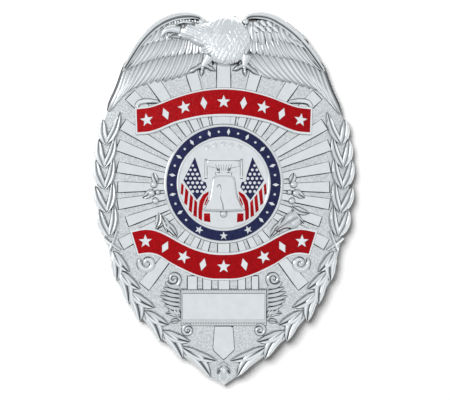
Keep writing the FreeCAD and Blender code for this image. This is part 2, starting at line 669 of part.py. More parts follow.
def shield_plate(raised_metal):
    """All the struck metal as one solid, with the seat for the seal and the seat for the pin."""
    solid, room = shell()
    plate = solid.multiFuse(raised_metal).cut(room)
    seat = prism(ring_points((0.0, SEAL_Y), SEAL_R + FIT, SEAL_SIDES), SEAL_SEAT, 12)
    width, length, _ = PIN_BAR
    boss = Part.makeBox(
        width + 1.2, length + 1.2, BOSS_TOP - PIN_SEAT - FIT,
        FreeCAD.Vector(-width / 2 - 0.6, -length / 2 - 0.6, PIN_SEAT + FIT),
    )
    return plate.fuse(boss).cut(seat).removeSplitter()


def build():
    upper_metal, upper_enamel = ribbon(UPPER_RIBBON)
    lower_metal, lower_enamel = ribbon(LOWER_RIBBON)
    metal = rays() + upper_metal + lower_metal + wreath() + eagle() + scrollwork()
    disc, ring_enamel, cells = seal()
    nodes = {
        "shield_plate": shield_plate(metal),
        "upper_ribbon_enamel": upper_enamel,
        "lower_ribbon_enamel": lower_enamel,
        "seal_disc": disc,
        "seal_ring_enamel": ring_enamel,
        "pin_back": pin(),
    }
    nodes.update(cells)
    return nodes


def main():
    for name, shape in build().items():
        print(name, shape.isValid(), len(shape.Solids), round(shape.Volume, 1), len(shape.Faces))
        shape.exportStep(f"parts/{name}.step")


main()
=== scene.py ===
"""Looks for a firefighter's breast badge lying face up: struck silver relief with enamel fills.

Lengths are in millimetres until a piece is finished, and metres after that. X runs across the
badge, Y up it and Z out of its face, as in the frame.
"""

import math
import random

import bmesh
import bpy
from mathutils import Matrix, Vector
from mathutils.geometry import interpolate_bezier


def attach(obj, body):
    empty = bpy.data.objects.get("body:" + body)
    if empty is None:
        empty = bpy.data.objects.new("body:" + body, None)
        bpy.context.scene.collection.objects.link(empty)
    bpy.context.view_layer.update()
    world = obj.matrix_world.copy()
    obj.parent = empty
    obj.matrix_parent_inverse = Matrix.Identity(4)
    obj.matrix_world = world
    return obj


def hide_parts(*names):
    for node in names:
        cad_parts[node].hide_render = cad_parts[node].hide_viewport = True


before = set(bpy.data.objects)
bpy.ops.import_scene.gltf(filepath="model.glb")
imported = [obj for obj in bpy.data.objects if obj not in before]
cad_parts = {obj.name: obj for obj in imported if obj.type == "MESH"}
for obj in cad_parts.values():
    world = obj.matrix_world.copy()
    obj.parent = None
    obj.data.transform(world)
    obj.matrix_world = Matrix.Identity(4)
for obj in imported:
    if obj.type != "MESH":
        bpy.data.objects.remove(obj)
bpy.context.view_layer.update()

MM = 0.001

# The struck body
HEIGHT = 82.5
WIDTH = 57.2
EDGE_THICK = 1.9
CROWN = 3.4
WALL = 1.6
RIM_WIDTH = 2.4
RIM_MARGIN = 0.7
SINK = 0.5
FLARE = 0.14
RIM_FOOT = 0.3
SHEET_HALF = (30, 43)
SHEET_CELLS = (60, 86)
SAME_PLACE = 1e-4

BODY_OUTLINE = [
    (0.0, -41.2), (-4.0, -38.4), (-9.9, -34.0), (-15.5, -29.3), (-20.3, -23.5), (-23.6, -18.0),
    (-25.1, -12.6), (-27.4, -2.0), (-27.9, 5.3), (-27.5, 12.1), (-26.4, 17.4), (-24.3, 23.4),
    (-20.9, 31.8), (-18.0, 36.0), (-14.1, 39.2),
]

# Rays, turned about a point just under the seal's middle
RAY_Y = 2.6
RAY_START = 12.0
RAY_SPREAD = 5.6
RAY_RISE = 0.22
RAY_SIDES = (RAY_RISE + 0.06, 0.12)
RAY_WALL = 0.34
RAY_SINK = 0.1
RAY_CREASE = 12
TOP_RAY = 1.45
TOP_RAY_END = 31.0
FOOT_RAY = TOP_RAY * 0.85
FOOT_RAY_START = -14.0
RAYS = [
    (71.6, 27.0), (53.7, 28.5), (41.8, 29.0), (29.2, 26.2), (19.0, 25.1), (8.0, 23.8), (-2.7, 23.3),
    (-11.9, 23.6), (-22.4, 22.6), (-31.9, 25.9), (-54.0, 28.0),
]
RAY_STUBS = [(62.6, 16.6), (80.4, 16.8), (-76.0, 17.0), (-66.0, 18.0)]
LOWER_STUBS = [(-7.9, -5.9), (-4.5, -2.8), (-1.1, 1.2), (3.2, 4.7), (6.2, 7.6)]
LOWER_STUB_ENDS = (-20.2, -17.0)

# Ribbons: top and bottom of each station from the middle outwards
RIBBON_EDGE = 0.95
RIBBON_BORDER = 0.42
RIBBON_CHAMFER = 0.1
RIBBON_POINTS = 41
RIBBON_CELLS = 6
GLASS_PROUD = 0.03
GLASS_DEPTH = 0.3
GLASS_CHAMFER = 0.05
RIBBON_MARKS = 9
MARK_STEPS = [(1.0, RIBBON_EDGE + 0.05), (0.94, RIBBON_EDGE + 0.12), (0.05, RIBBON_EDGE + 0.22)]
UPPER_RIBBON = [
    ((0.0, 24.1), (0.0, 18.6)), ((4.1, 23.8), (4.1, 18.4)), ((7.5, 23.1), (7.5, 17.8)),
    ((10.8, 22.1), (10.8, 16.9)), ((14.1, 20.8), (14.1, 15.5)), ((16.4, 20.1), (16.4, 14.8)),
    ((19.2, 19.8), (19.0, 14.6)),
]
LOWER_RIBBON = [
    ((0.0, -12.2), (0.0, -17.5)), ((3.1, -12.0), (3.1, -17.4)), ((6.4, -11.1), (6.3, -16.5)),
    ((9.3, -9.8), (9.2, -15.2)), ((12.0, -8.3), (11.7, -13.9)), ((14.6, -7.1), (14.2, -12.3)),
    ((17.2, -6.7), (16.4, -11.8)), ((20.2, -7.3), (18.7, -12.1)),
]
STAR_R = 1.6
STAR_WAIST = 0.42
LOZENGE = (0.8, 1.5)
RIBBON_FOLD = [(-19.3, 20.3), (-18.6, 21.3), (-16.8, 21.6), (-14.4, 21.4)]
FOLD_WIDTHS = [0.5, 0.6, 0.55, 0.35]
FOLD_PROFILE = [0.7, 1.0, 1.0, 0.9, 0.95, 0.7]

# Eagle: domes of breast, neck and head are middle, half sizes, turn and height over the crowned face
BREAST = (0.5, 34.9)
BREAST_R = 5.65
DOMES = [
    (BREAST, (BREAST_R, BREAST_R), 0.0, 2.7),
    ((-4.2, 36.1), (4.4, 2.9), -14.0, 2.55),
    ((-7.5, 37.1), (3.4, 2.25), -4.0, 2.75),
]
DOME_EDGE = 0.35
RIM_TOP = 37.6
BREAST_ROWS = 12
BREAST_PITCH = (1.02, 0.98)
BREAST_SCALE = (2.2, 0.44)
BREAST_SCALE_LIFTS = (0.8, 1.5)
BREAST_SCALES_END = 0.16
BREAST_FLOW = -112
BREAST_FAN = 34
BREAST_STRAY = 22
NECK_CELLS = (9, 6)
NECK_START = (-9.0, 34.3)
NECK_PITCH = (0.95, 0.8)
NECK_STAGGER = 0.35
NECK_SCALE = (1.5, 0.42)
NECK_SCALE_LIFT = 0.9
NECK_SCALES_END = 0.12
NECK_OVER_BREAST = 0.1
NECK_FLOW = -18
NECK_FAN = -5
NECK_STRAY = 8
FACE_X = -8.3
SCALE_WIDTHS = [0.5, 0.85, 1.0, 0.85, 0.3]
SCALE_LEVELS = [0.2, 0.7, 1.0, 1.25, 1.1]
SCALE_PROFILE = [0.0, 0.11, 0.14, 0.11, 0.0]
BEAK = [(-9.6, 37.3), (-11.4, 37.6), (-13.0, 37.0), (-14.0, 35.5)]
BEAK_WIDTHS = [1.0, 1.0, 0.85, 0.6, 0.08]
BEAK_LEVELS = [1.0, 0.98, 0.85, 0.6]
BEAK_PROFILE = [1.9, 2.35, 2.5, 2.55, 2.5, 2.35, 1.9]
LOWER_BEAK = [(-9.6, 35.8), (-11.2, 35.9), (-12.3, 35.6)]
LOWER_BEAK_WIDTHS = [0.55, 0.5, 0.1]
LOWER_BEAK_PROFILE = [1.0, 1.6, 1.8, 1.6, 1.0]
BROW = [(-10.6, 38.3), (-8.8, 38.9), (-6.2, 38.6)]
BROW_WIDTHS = [0.15, 0.4, 0.35, 0.1]
BROW_PROFILE = [2.0, 2.7, 2.85, 2.7, 2.0]
EYE = (-8.9, 38.0)
EYE_R = 0.5
EYE_STEPS = [(1.0, 2.35), (0.8, 2.75), (0.55, 2.6), (0.4, 2.85), (0.1, 2.95)]
LEGS = [((-3.2, 31.4), (-4.6, 29.3)), ((5.0, 31.6), (4.5, 29.3))]
LEG_WIDTHS = [1.15, 0.6]
LEG_LEVELS = [1.0, 0.7]
LEG_PROFILE = [1.2, 1.7, 1.85, 1.7, 1.2]
TOES = [
    ((-4.6, 29.6), (-8.2, 27.6)), ((-4.6, 29.4), (-5.0, 27.0)), ((-4.3, 29.6), (-1.8, 28.2)),
    ((4.4, 29.5), (1.9, 28.3)), ((4.5, 29.4), (4.8, 27.0)), ((4.7, 29.6), (7.9, 27.2)),
]
TOE_WIDTHS = [0.5, 0.6, 0.42, 0.55, 0.35, 0.06]
TOE_LEVELS = [1.0, 1.1, 0.9, 1.0, 0.7, 0.5]
TOE_PROFILE = [0.75, 1.1, 1.2, 1.1, 0.75]
# Painted shade across each toe: dark at its sides
TOE_PAINTED_SHADE = [0.9, 0.3, 0.0, 0.3, 0.9]

# Wings: roots and tips of each row of feathers, how many, and how high they lie
LEFT_WING = [
    ([(-21.8, 28.6), (-18.3, 30.3), (-12.9, 31.8), (-5.2, 32.4)],
     [(-25.6, 19.4), (-22.4, 23.2), (-17.8, 25.2), (-12.3, 26.2), (-7.0, 27.8)], 14, 0.5),
    ([(-17.9, 34.4), (-16.0, 35.2), (-12.0, 35.7), (-7.4, 35.0), (-5.4, 34.2)],
     [(-22.4, 28.3), (-18.5, 29.9), (-12.9, 31.3), (-5.0, 31.9)], 12, 0.85),
    ([(-16.3, 36.3), (-13.4, 38.2), (-9.5, 39.3), (-5.6, 39.0)],
     [(-18.7, 34.0), (-14.0, 34.7), (-9.0, 35.4), (-5.0, 36.0)], 10, 1.15),
]
RIGHT_WING = [
    ([(5.2, 32.0), (11.3, 32.4), (15.7, 31.4), (21.7, 28.5)],
     [(10.4, 26.6), (14.6, 25.7), (19.9, 24.3), (22.4, 23.2), (25.9, 18.8)], 13, 0.5),
    ([(5.8, 35.6), (8.4, 34.6), (12.9, 35.4), (17.6, 34.0)],
     [(5.2, 31.9), (9.5, 31.6), (14.6, 30.9), (18.6, 30.0), (22.4, 28.3)], 12, 0.85),
    ([(5.6, 38.2), (8.2, 39.2), (11.7, 38.5), (16.0, 35.5)],
     [(6.0, 35.2), (8.4, 33.7), (12.9, 34.6), (18.8, 33.9)], 9, 1.15),
]
COVERTS = [
    (7.2, 38.6), (8.6, 38.9), (10.0, 38.7), (7.0, 37.5), (8.4, 37.7), (9.9, 37.5), (11.3, 37.6),
]
COVERT_RUN = ((-0.4, 0.4), (0.7, -0.8))
COVERT_WIDTHS = [0.5, 0.6, 0.6, 0.25]
COVERT_PROFILE = [1.1, 1.38, 1.42, 1.38, 1.1]
LEFT_ARCH = [
    (-4.9, 39.2), (-5.6, 40.1), (-8.2, 40.4), (-11.4, 39.9), (-14.9, 38.1), (-18.3, 34.6),
    (-21.9, 28.9),
]
RIGHT_ARCH = [
    (4.9, 39.2), (5.6, 40.2), (8.4, 40.4), (11.2, 39.6), (15.2, 36.9), (18.6, 33.3), (21.9, 28.6),
]
ARCH_HALF_WIDTHS = [0.35, 0.75, 0.85, 0.80, 0.65, 0.55, 0.40]
ARCH_WIDER = 1.1
ARCH_PROFILE = [0.95, 1.3, 1.45, 1.5, 1.45, 1.3, 1.05, 1.15, 1.25, 1.2, 0.95]
# Painted shade across the arch: dark in the groove and at its edges
ARCH_PAINTED_SHADE = [0.2, 0.0, 0.0, 0.0, 0.0, 0.2, 0.8, 0.5, 0.0, 0.0, 0.4]
ARCH_KNOB_R = 0.75
ARCH_KNOB_STEPS = [(1.0, 0.9), (0.85, 1.3), (0.5, 1.5), (0.1, 1.55)]

# Wreath: root, inner tip and outer tip of each pair of leaves on the left, then half widths and how
# much painted shade their creases get
UPPER_LEAVES = [
    ((-25.2, -8.4), (-24.2, -1.3), (-27.5, -2.2)), ((-25.7, -3.1), (-24.5, 4.0), (-28.4, 2.9)),
    ((-26.2, 2.1), (-24.4, 9.0), (-28.3, 8.6)), ((-26.4, 6.8), (-24.0, 13.7), (-27.6, 13.2)),
    ((-26.0, 11.9), (-22.9, 19.2), (-26.7, 17.6)),
]
LOWER_LEAVES = [
    ((-24.4, -11.5), (-20.9, -16.1), (-23.6, -18.1)), ((-22.9, -15.9), (-18.5, -19.9), (-20.9, -23.2)),
    ((-20.6, -20.5), (-15.2, -24.0), (-18.4, -27.1)), ((-17.4, -24.7), (-12.1, -27.8), (-13.8, -31.5)),
    ((-13.4, -29.1), (-7.4, -31.5), (-9.0, -35.3)), ((-9.3, -32.6), (-1.5, -35.7), (-2.8, -39.3)),
]
STEMS = [
    [(-26.4, -8.6), (-25.1, -9.7), (-22.9, -11.3)],
    [(-23.6, -7.1), (-24.6, -9.9), (-25.2, -11.4)],
]
WREATH = ((UPPER_LEAVES, 0.90, 0.65), (LOWER_LEAVES, 1.12, 1.0))
OUTER_LEAF_WIDER = 1.18
OUTER_LIFT = 1.1
OUTER_BEND = 0.08
INNER_LIFT = 1.25
INNER_BEND = -0.06

# Seal
SEAL_Y = 3.35
SEAL_R = 13.2
SEAL_LIP = 12.55
SEAL_INNER = 10.35
SEAL_FIELD = 9.9
SEAL_RISE = 0.40
SEAL_GROUND = 0.28
SEAL_FOOT = -0.55
SEAL_STEPS = 112
ENAMEL_DEPTH = 0.22
ENAMEL_BED = SEAL_RISE - ENAMEL_DEPTH
SEAL_PROFILE = [
    (0, SEAL_GROUND), (SEAL_FIELD * 0.35, SEAL_GROUND), (SEAL_FIELD * 0.7, SEAL_GROUND),
    (SEAL_FIELD - 0.25, SEAL_GROUND), (SEAL_FIELD, SEAL_RISE + 0.04),
    (SEAL_FIELD + 0.12, SEAL_RISE + 0.10), (SEAL_INNER - 0.12, SEAL_RISE + 0.10),
    (SEAL_INNER, SEAL_RISE), (SEAL_INNER + 0.04, ENAMEL_BED), (SEAL_LIP - 0.04, ENAMEL_BED),
    (SEAL_LIP, SEAL_RISE), (SEAL_LIP + 0.15, SEAL_RISE + 0.12), (SEAL_R - 0.2, SEAL_RISE + 0.12),
    (SEAL_R, SEAL_RISE - 0.05), (SEAL_R + 0.02, SEAL_FOOT), (0, SEAL_FOOT),
]
RING_PROFILE = [
    (SEAL_INNER + 0.03, ENAMEL_BED + 0.02), (SEAL_INNER + 0.03, SEAL_RISE - 0.03),
    (SEAL_INNER + 0.2, SEAL_RISE), (SEAL_LIP - 0.2, SEAL_RISE),
    (SEAL_LIP - 0.03, SEAL_RISE - 0.03), (SEAL_LIP - 0.03, ENAMEL_BED + 0.02),
    (SEAL_INNER + 0.03, ENAMEL_BED + 0.02),
]
SEAL_STARS = (-28.0, 0.0, 28.0)
SEAL_STAR_R = 0.95
SEAL_STAR_STEPS = [(1.0, SEAL_RISE + 0.06), (0.05, SEAL_RISE + 0.2)]
RING_BEADS = 26
RING_BEAD_GAP = 46.0
RING_BEAD_R = 0.27
RING_BEAD_STEPS = [(1.0, SEAL_RISE + 0.04), (0.6, SEAL_RISE + 0.14), (0.1, SEAL_RISE + 0.16)]
RING_LOZENGE = (0.75, 0.36)
RING_LOZENGE_STEPS = [(1.0, SEAL_RISE + 0.05), (0.05, SEAL_RISE + 0.16)]
CANTON = [(-6.3, 9.3), (-8.9, 4.1), (-5.9, -0.3), (-3.6, 2.6), (-3.9, 3.7), (-4.8, 4.0), (-5.0, 5.3)]
DOT_START = (-8.3, 8.3)
DOT_PITCH = (1.0, 0.95)
DOT_CELLS = (6, 9)
DOT_R = 0.34
DOT_STEPS = [(1.0, SEAL_GROUND + 0.05), (0.6, SEAL_GROUND + 0.10)]
STRIPE_STEPS = [(1.0, SEAL_GROUND + 0.03), (0.97, SEAL_GROUND + 0.05)]
STRIPES = [
    [(-9.3, 3.55), (-8.75, 3.0), (-8.95, 0.75), (-9.45, 1.25)],
    [(-8.4, 2.5), (-7.7, 1.6), (-8.05, -1.45), (-8.7, -0.9)],
    [(-7.35, 1.15), (-6.7, 0.35), (-7.0, -3.1), (-7.7, -2.45)],
    [(-6.4, 0.0), (-5.8, -0.75), (-5.9, -4.05), (-6.7, -3.6)],
    [
        (-3.3, 1.7), (-4.5, 0.95), (-5.3, -0.4), (-5.55, -2.1), (-5.55, -4.25), (-4.75, -4.8),
        (-4.7, -2.8), (-4.5, -1.25), (-4.0, 0.1), (-3.3, 1.1),
    ],
    [(-3.35, 0.75), (-3.85, -0.05), (-4.3, -1.4), (-4.0, -1.3), (-3.5, -0.3)],
    [(-4.35, -3.15), (-3.0, -3.15), (-2.9, -5.1), (-4.35, -4.85)],
]
BELL = [
    (-1.2, 5.4), (-2.4, 4.7), (-2.8, 2.5), (-3.2, 0.2), (-4.1, -1.8), (-4.2, -2.8), (4.2, -2.8),
    (4.1, -1.8), (3.2, 0.2), (2.8, 2.5), (2.4, 4.7), (1.2, 5.4),
]
BELL_MIDDLE = (0.0, 1.0)
BELL_STEPS = [(1.0, 0.34), (0.93, 0.60), (0.82, 0.68), (0.55, 0.73), (0.25, 0.76), (0.05, 0.77)]
BELL_LIP = [(-4.1, -2.35), (0.0, -2.5), (4.1, -2.35)]
BELL_LIP_HALF_WIDTH = 0.32
BELL_LIP_PROFILE = [0.4, 0.82, 0.9, 0.82, 0.4]
BELL_CRACK = [(-1.5, 2.6), (-0.9, 3.2), (-0.6, 2.2), (-0.7, 0.4), (-0.2, -1.2), (-0.1, -2.8)]
BELL_CRACK_HALF_WIDTH = 0.14
BELL_CRACK_PROFILE = [0.7, 0.92, 0.7]
CLAPPER = (0.0, -3.3)
CLAPPER_R = 0.85
CLAPPER_STEPS = [(1.0, 0.4), (0.8, 0.75), (0.4, 0.95), (0.1, 1.0)]
BELL_FRAME_RISE = 0.62
YOKE = [
    (-3.9, 8.5), (-3.9, 7.2), (-1.2, 6.6), (-0.8, 5.2), (0.8, 5.2), (1.2, 6.6), (3.9, 7.2),
    (3.9, 8.5),
]
CAP = [(-1.9, 5.9), (-1.7, 5.0), (1.7, 5.0), (1.9, 5.9)]
POST_X = 3.9
POST_Y = (4.4, 8.8)
POST_HALF_WIDTH = 0.34
FINE_RAYS = 7
FINE_RAY_START = -1.8
FINE_RAY_PITCH = 0.6
FINE_RAY_CLOSING = 0.7
FINE_RAY_Y = (6.2, 7.6)
FINE_RAY_HALF_WIDTH = 0.14
FINE_RAY_PROFILE = [0.4, 0.75, 0.4]
SMALL_STARS = [(-3.5, 11.4), (-1.8, 11.9), (0.0, 12.1), (1.8, 11.9), (3.5, 11.4)]
SMALL_STAR_R = 0.75
SMALL_STAR_STEPS = [(1.0, SEAL_GROUND + 0.03), (0.05, SEAL_GROUND + 0.17)]

# Foot of the badge
PLAQUE = (-9.2, 9.2, -26.7, -20.5)
PLAQUE_FRAME = (-9.5, 9.5, -28.0, -19.7)
PANEL_RISE = 0.70
PANEL_CHAMFER = 0.25
PANEL_FRAME_RISE = 0.40
PANEL_FRAME_CHAMFER = 0.2
PANEL_BEADS = 33
PANEL_BEAD_X = 8.9
PANEL_BEAD_Y = (-20.05, -27.35)
PANEL_BEAD_R = 0.19
PANEL_BEAD_STEPS = [(1.0, 0.42), (0.5, 0.58)]
RIB_TOP = -18.9
RIB_PITCH = 0.95
RIB_INNER = ((9.7, -0.55), (11.4, -0.35))
RIB_REACH = [12.9, 13.3, 13.7, 14.0, 13.6, 13.0, 12.0]
RIB_TURN_UP = 0.35
RIB_WIDTHS = [0.36, 0.44, 0.42, 0.2]
RIB_PROFILE = [0.4, 0.66, 0.74, 0.66, 0.4]
VOLUTES = [
    ((-11.0, -17.6), 1.7, 200, 520, 1.2), ((-7.9, -28.9), 1.3, 60, 520, 1.1),
    ((-16.9, -14.1), 1.9, 150, 400, 1.7),
]
SCROLL_EYE = 0.22
SCROLL_WIDTHS = [0.2, 0.40, 0.38, 0.34, 0.3]
SCROLL_LEVELS = [1.0, 1.2]
SCROLL_PROFILE = [0.5, 0.76, 0.84, 0.76, 0.5]
TAIL = [(-2.1, -27.8), (-2.5, -33.3), (0.0, -35.7), (2.5, -33.3), (2.1, -27.8)]
TAIL_MIDDLE = (0.0, -31.6)
TAIL_STEPS = [(1.0, 0.0), (0.93, 0.42), (0.8, 0.42), (0.1, 0.42)]
BUD = [(0.0, -35.9), (-1.4, -36.9), (-1.1, -39.4), (0.0, -41.25), (1.1, -39.4), (1.4, -36.9)]
BUD_MIDDLE = (0.0, -38.2)
BUD_STEPS = [(1.0, 0.4), (0.7, 0.85), (0.35, 1.2), (0.05, 1.3)]
BUD_LEAVES = [((0.0, -36.6), (1.5, -38.6))]
FOOT_LEAVES = [
    ((-9.7, -25.9), (-12.9, -25.2)), ((-9.7, -26.9), (-12.0, -27.3)),
    ((-9.6, -26.2), (-11.2, -23.9)),
]

# Fruit and leaves beside the seal, the first two sprays on the left alone, and a flower on the right
FRUITS = [((-15.4, 3.2), 0.85), ((-15.9, 1.3), 0.85), ((-15.0, -0.4), 0.8), ((-14.5, 1.5), 0.6)]
FRUIT_STEPS = [(1.0, 0.5), (0.9, 0.8), (0.65, 1.1), (0.3, 1.25), (0.05, 1.3)]
LEFT_SPRAYS = 2
SPRAYS = [
    ((-15.0, -1.6), (-19.0, -3.2)), ((-14.9, -2.4), (-17.7, -5.4)), ((-14.2, -3.0), (-15.0, -6.6)),
    ((-13.4, -4.0), (-12.3, -7.4)), ((-15.6, 2.2), (-17.9, 0.2)), ((-14.6, 3.6), (-15.4, 5.8)),
    ((-13.6, -5.0), (-10.2, -8.4)),
]
FLOWER = [(11.4, -7.0), (13.4, -5.6), (16.4, -4.0)]
FLOWER_WIDTHS = [0.35, 0.6, 0.9, 1.6, 1.9, 1.4]
FLOWER_LEVELS = [0.9, 1.0, 1.05, 1.0, 0.8]
FLOWER_PROFILE = [0.8, 1.25, 1.4, 1.15, 1.4, 1.25, 0.8]
# Painted shade across the flower: darker at its edges and along its middle
FLOWER_PAINTED_SHADE = [0.4, 0.0, 0.0, 0.5, 0.0, 0.0, 0.4]

# Fastener behind
PIN_BAR = (4.0, 32.0)
PIN_SEAT = 3.10
BOSS_TOP = 4.3
BOSS_MARGIN = 1.2
BOSS_GAP = 0.04
BOSS_BEVEL = 0.25


def crown(x, y):
    """Height of the crowned face over the flat underside."""
    return EDGE_THICK + CROWN * (1 - (2 * x / WIDTH) ** 2 - (2 * y / HEIGHT) ** 2)


def mix(a, b, t):
    return a + (b - a) * t


def towards(a, b, distance):
    share = distance / math.dist(a, b)
    return (mix(a[0], b[0], share), mix(a[1], b[1], share))


def flip(points):
    return [(-x, y) for x, y in points]


def around(middle, radius, degrees):
    turn = math.radians(degrees)
    return (middle[0] + radius * math.cos(turn), middle[1] + radius * math.sin(turn))


def resample(line, count):
    """Evenly spaced points along a line of straight runs."""
    runs = [math.dist(a, b) for a, b in zip(line, line[1:])]
    points = []
    for k in range(count):
        left = sum(runs) * k / (count - 1)
        for run, a, b in zip(runs, line, line[1:]):
            if left <= run + 1e-9:
                break
            left -= run
        share = min(left / run, 1.0)
        points.append((mix(a[0], b[0], share), mix(a[1], b[1], share)))
    return points


def curve_through(points, count):
    """Evenly spaced points on a soft curve through a few given ones."""
    fine = []
    for i in range(len(points) - 1):
        a, b = points[i], points[i + 1]
        before, after = points[max(i - 1, 0)], points[min(i + 2, len(points) - 1)]
        leave = (a[0] + (b[0] - before[0]) / 6, a[1] + (b[1] - before[1]) / 6)
        arrive = (b[0] - (after[0] - a[0]) / 6, b[1] - (after[1] - a[1]) / 6)
        run = interpolate_bezier(*[Vector((*p, 0)) for p in (a, leave, arrive, b)], 12)
        fine += [(v.x, v.y) for v in run[:-1]]
    return resample(fine + [points[-1]], count)


def values_at(values, t):
    """Value at a share of the way through a short list of them."""
    place = t * (len(values) - 1)
    k = min(int(place), len(values) - 2)
    return mix(values[k], values[k + 1], place - k)


def taper(values, times=1.0):
    """Rule that gives a size at each share of the way, from a short list of them."""
    return lambda t: times * values_at(values, t)


def bent(root, tip, bend):
    """Root, middle and tip of a line that bows out by a share of its length."""
    side = (Vector(tip) - Vector(root)).orthogonal() * bend
    return [root, (mix(root[0], tip[0], 0.5) + side.x, mix(root[1], tip[1], 0.5) + side.y), tip]


def inside(outline, point, margin):
    """True when a point lies within an outline by a margin on every side."""
    x, y = point
    hits = 0
    for (x0, y0), (x1, y1) in zip(outline, outline[1:] + outline[:1]):
        if (y0 > y) != (y1 > y) and x < mix(x0, x1, (y - y0) / (y1 - y0)):
            hits += 1
        run = Vector((x1 - x0, y1 - y0))
        share = min(max(Vector((x - x0, y - y0)).dot(run) / run.length_squared, 0), 1)
        if math.dist((x, y), (mix(x0, x1, share), mix(y0, y1, share))) < margin:
            return False
    return hits % 2 == 1


# Shapes standing on the crowned face

BODY_LOOP = BODY_OUTLINE + flip(BODY_OUTLINE)[:0:-1]


def once_each(items):
    """List without repeats, in the order that they come."""
    return list(dict.fromkeys(items))


def open_edges(verts):
    return once_each(e for v in verts for e in v.link_edges if e.is_boundary)


def edges_among(ring):
    return once_each(e for v in ring for e in v.link_edges if e.other_vert(v) in ring)


def extruded_ring(bm, edges):
    """Extrude a loop of edges. Gives its new vertices."""
    made = bmesh.ops.extrude_edge_only(bm, edges=edges)["geom"]
    return dict.fromkeys(item for item in made if isinstance(item, bmesh.types.BMVert))


def drop_skirt(bm, verts, foot, ground, flare=FLARE, sink=SINK):
    """Walls from the edge of a raised shape down into what carries it, closed underneath.

    A foot is the low end of the walls over the rim. Walls over the hollow stop in the metal.
    """
    outward = {}
    for v in verts:
        if v.is_boundary:
            middle = sum((f.calc_center_median() for f in v.link_faces), Vector()) / len(v.link_faces)
            outward[v] = (v.co - middle).to_2d().normalized()
    ring = extruded_ring(bm, open_edges(outward))
    for v in ring:
        above = next(e.other_vert(v) for e in v.link_edges if e.other_vert(v) not in ring)
        v.co.xy += outward[above] * flare
        hollow = foot is not None and inside(BODY_LOOP, v.co.xy, RIM_WIDTH - RIM_MARGIN)
        v.co.z = ground(v.co.x, v.co.y) - sink if foot is None or hollow else foot
    bmesh.ops.edgeloop_fill(bm, edges=edges_among(ring))


def sheet(
    bm, left, right, rise, across, foot=None, ground=crown, flare=FLARE, sink=SINK, painted_shade=None,
):
    """Raised strip between two edge lines; rise(t, s) is its height along and across, and the last
    argument gives the painted shade stored on it.
    """
    along = len(left) - 1
    layer = bm.verts.layers.float.get("painted_shade") or bm.verts.layers.float.new("painted_shade")
    made = bmesh.ops.create_grid(bm, x_segments=along, y_segments=across, size=1)["verts"]
    for v in made:
        t, s = (v.co.x + 1) / 2, (v.co.y + 1) / 2
        k = round(t * along)
        x, y = mix(left[k][0], right[k][0], s), mix(left[k][1], right[k][1], s)
        v.co = (x, y, ground(x, y) + rise(t, s))
        v[layer] = painted_shade(t, s) if painted_shade else 0.0
    drop_skirt(bm, made, foot, ground, flare, sink)


def rails(line, half_width):
    """Left and right edge lines beside a centre line."""
    left, right = [], []
    last = len(line) - 1
    for k, (x, y) in enumerate(line):
        a, b = Vector(line[max(k - 1, 0)]), Vector(line[min(k + 1, last)])
        side = (b - a).orthogonal().normalized() * half_width(k / last)
        left.append((x + side.x, y + side.y))
        right.append((x - side.x, y - side.y))
    return left, right


def blade(
    bm, line, half_width, profile, level=lambda t: 1.0, foot=None, ground=crown, steps=16,
    painted_shade=(0.0, 0.0),
):
    """Long raised form along a line. The profile holds its heights from side to side, and the last
    argument the painted shade from side to side.
    """
    across = len(profile) - 1
    left, right = rails(curve_through(line, steps + 1), half_width)
    sheet(
        bm, left, right, lambda t, s: profile[round(s * across)] * level(t), across, foot, ground,
        painted_shade=lambda t, s: values_at(painted_shade, s),
    )


def tile(bm, left, right, rise, chamfer, across=4, under=0.0):
    """Flat-topped strip with a sloping edge all round, and a floor that follows the crown."""
    before = set(bm.faces)
    along = len(left) - 1
    for height in (under, -SINK):
        made = bmesh.ops.create_grid(bm, x_segments=along, y_segments=across, size=1)["verts"]
        for v in made:
            k, s = round((v.co.x + 1) / 2 * along), (v.co.y + 1) / 2
            x, y = mix(left[k][0], right[k][0], s), mix(left[k][1], right[k][1], s)
            v.co = (x, y, crown(x, y) + height)
        if height == under:
            tops = once_each(f for v in made for f in v.link_faces)
    edges = (e for f in bm.faces if f not in before for e in f.edges if e.is_boundary)
    bmesh.ops.bridge_loops(bm, edges=once_each(edges))
    bmesh.ops.recalc_face_normals(bm, faces=[f for f in bm.faces if f not in before])
    bmesh.ops.inset_region(bm, faces=tops, thickness=chamfer, depth=rise - under, use_even_offset=True)


def mound(bm, outline, middle, steps):
    """Closed low hill: steps are (share of the outline, height) from its rim to its top."""
    ring = bmesh.ops.create_circle(bm, segments=len(outline), radius=1)["verts"]
    edges = once_each(e for v in ring for e in v.link_edges)
    for v, (x, y) in zip(ring, outline):
        v.co = (x, y, crown(x, y) - SINK)
    bmesh.ops.edgeloop_fill(bm, edges=edges)
    last = 1.0
    for share, rise in steps:
        ring = extruded_ring(bm, edges)
        for v in ring:
            v.co.x = middle[0] + (v.co.x - middle[0]) * share / last
            v.co.y = middle[1] + (v.co.y - middle[1]) * share / last
            v.co.z = crown(v.co.x, v.co.y) + rise
        edges = edges_among(ring)
        last = share
    bmesh.ops.edgeloop_fill(bm, edges=edges)


def ring_of(middle, radius, count):
    return [around(middle, radius, 360 * k / count) for k in range(count)]


def star_points(middle, radius, turn=0.0):
    radii = (radius, radius * STAR_WAIST)
    return [around(middle, radii[k % 2], 90 + turn + 36 * k) for k in range(10)]


def lozenge_points(middle, half_sizes, turn):
    return [around(middle, half_sizes[k % 2], turn + 90 * k) for k in range(4)]


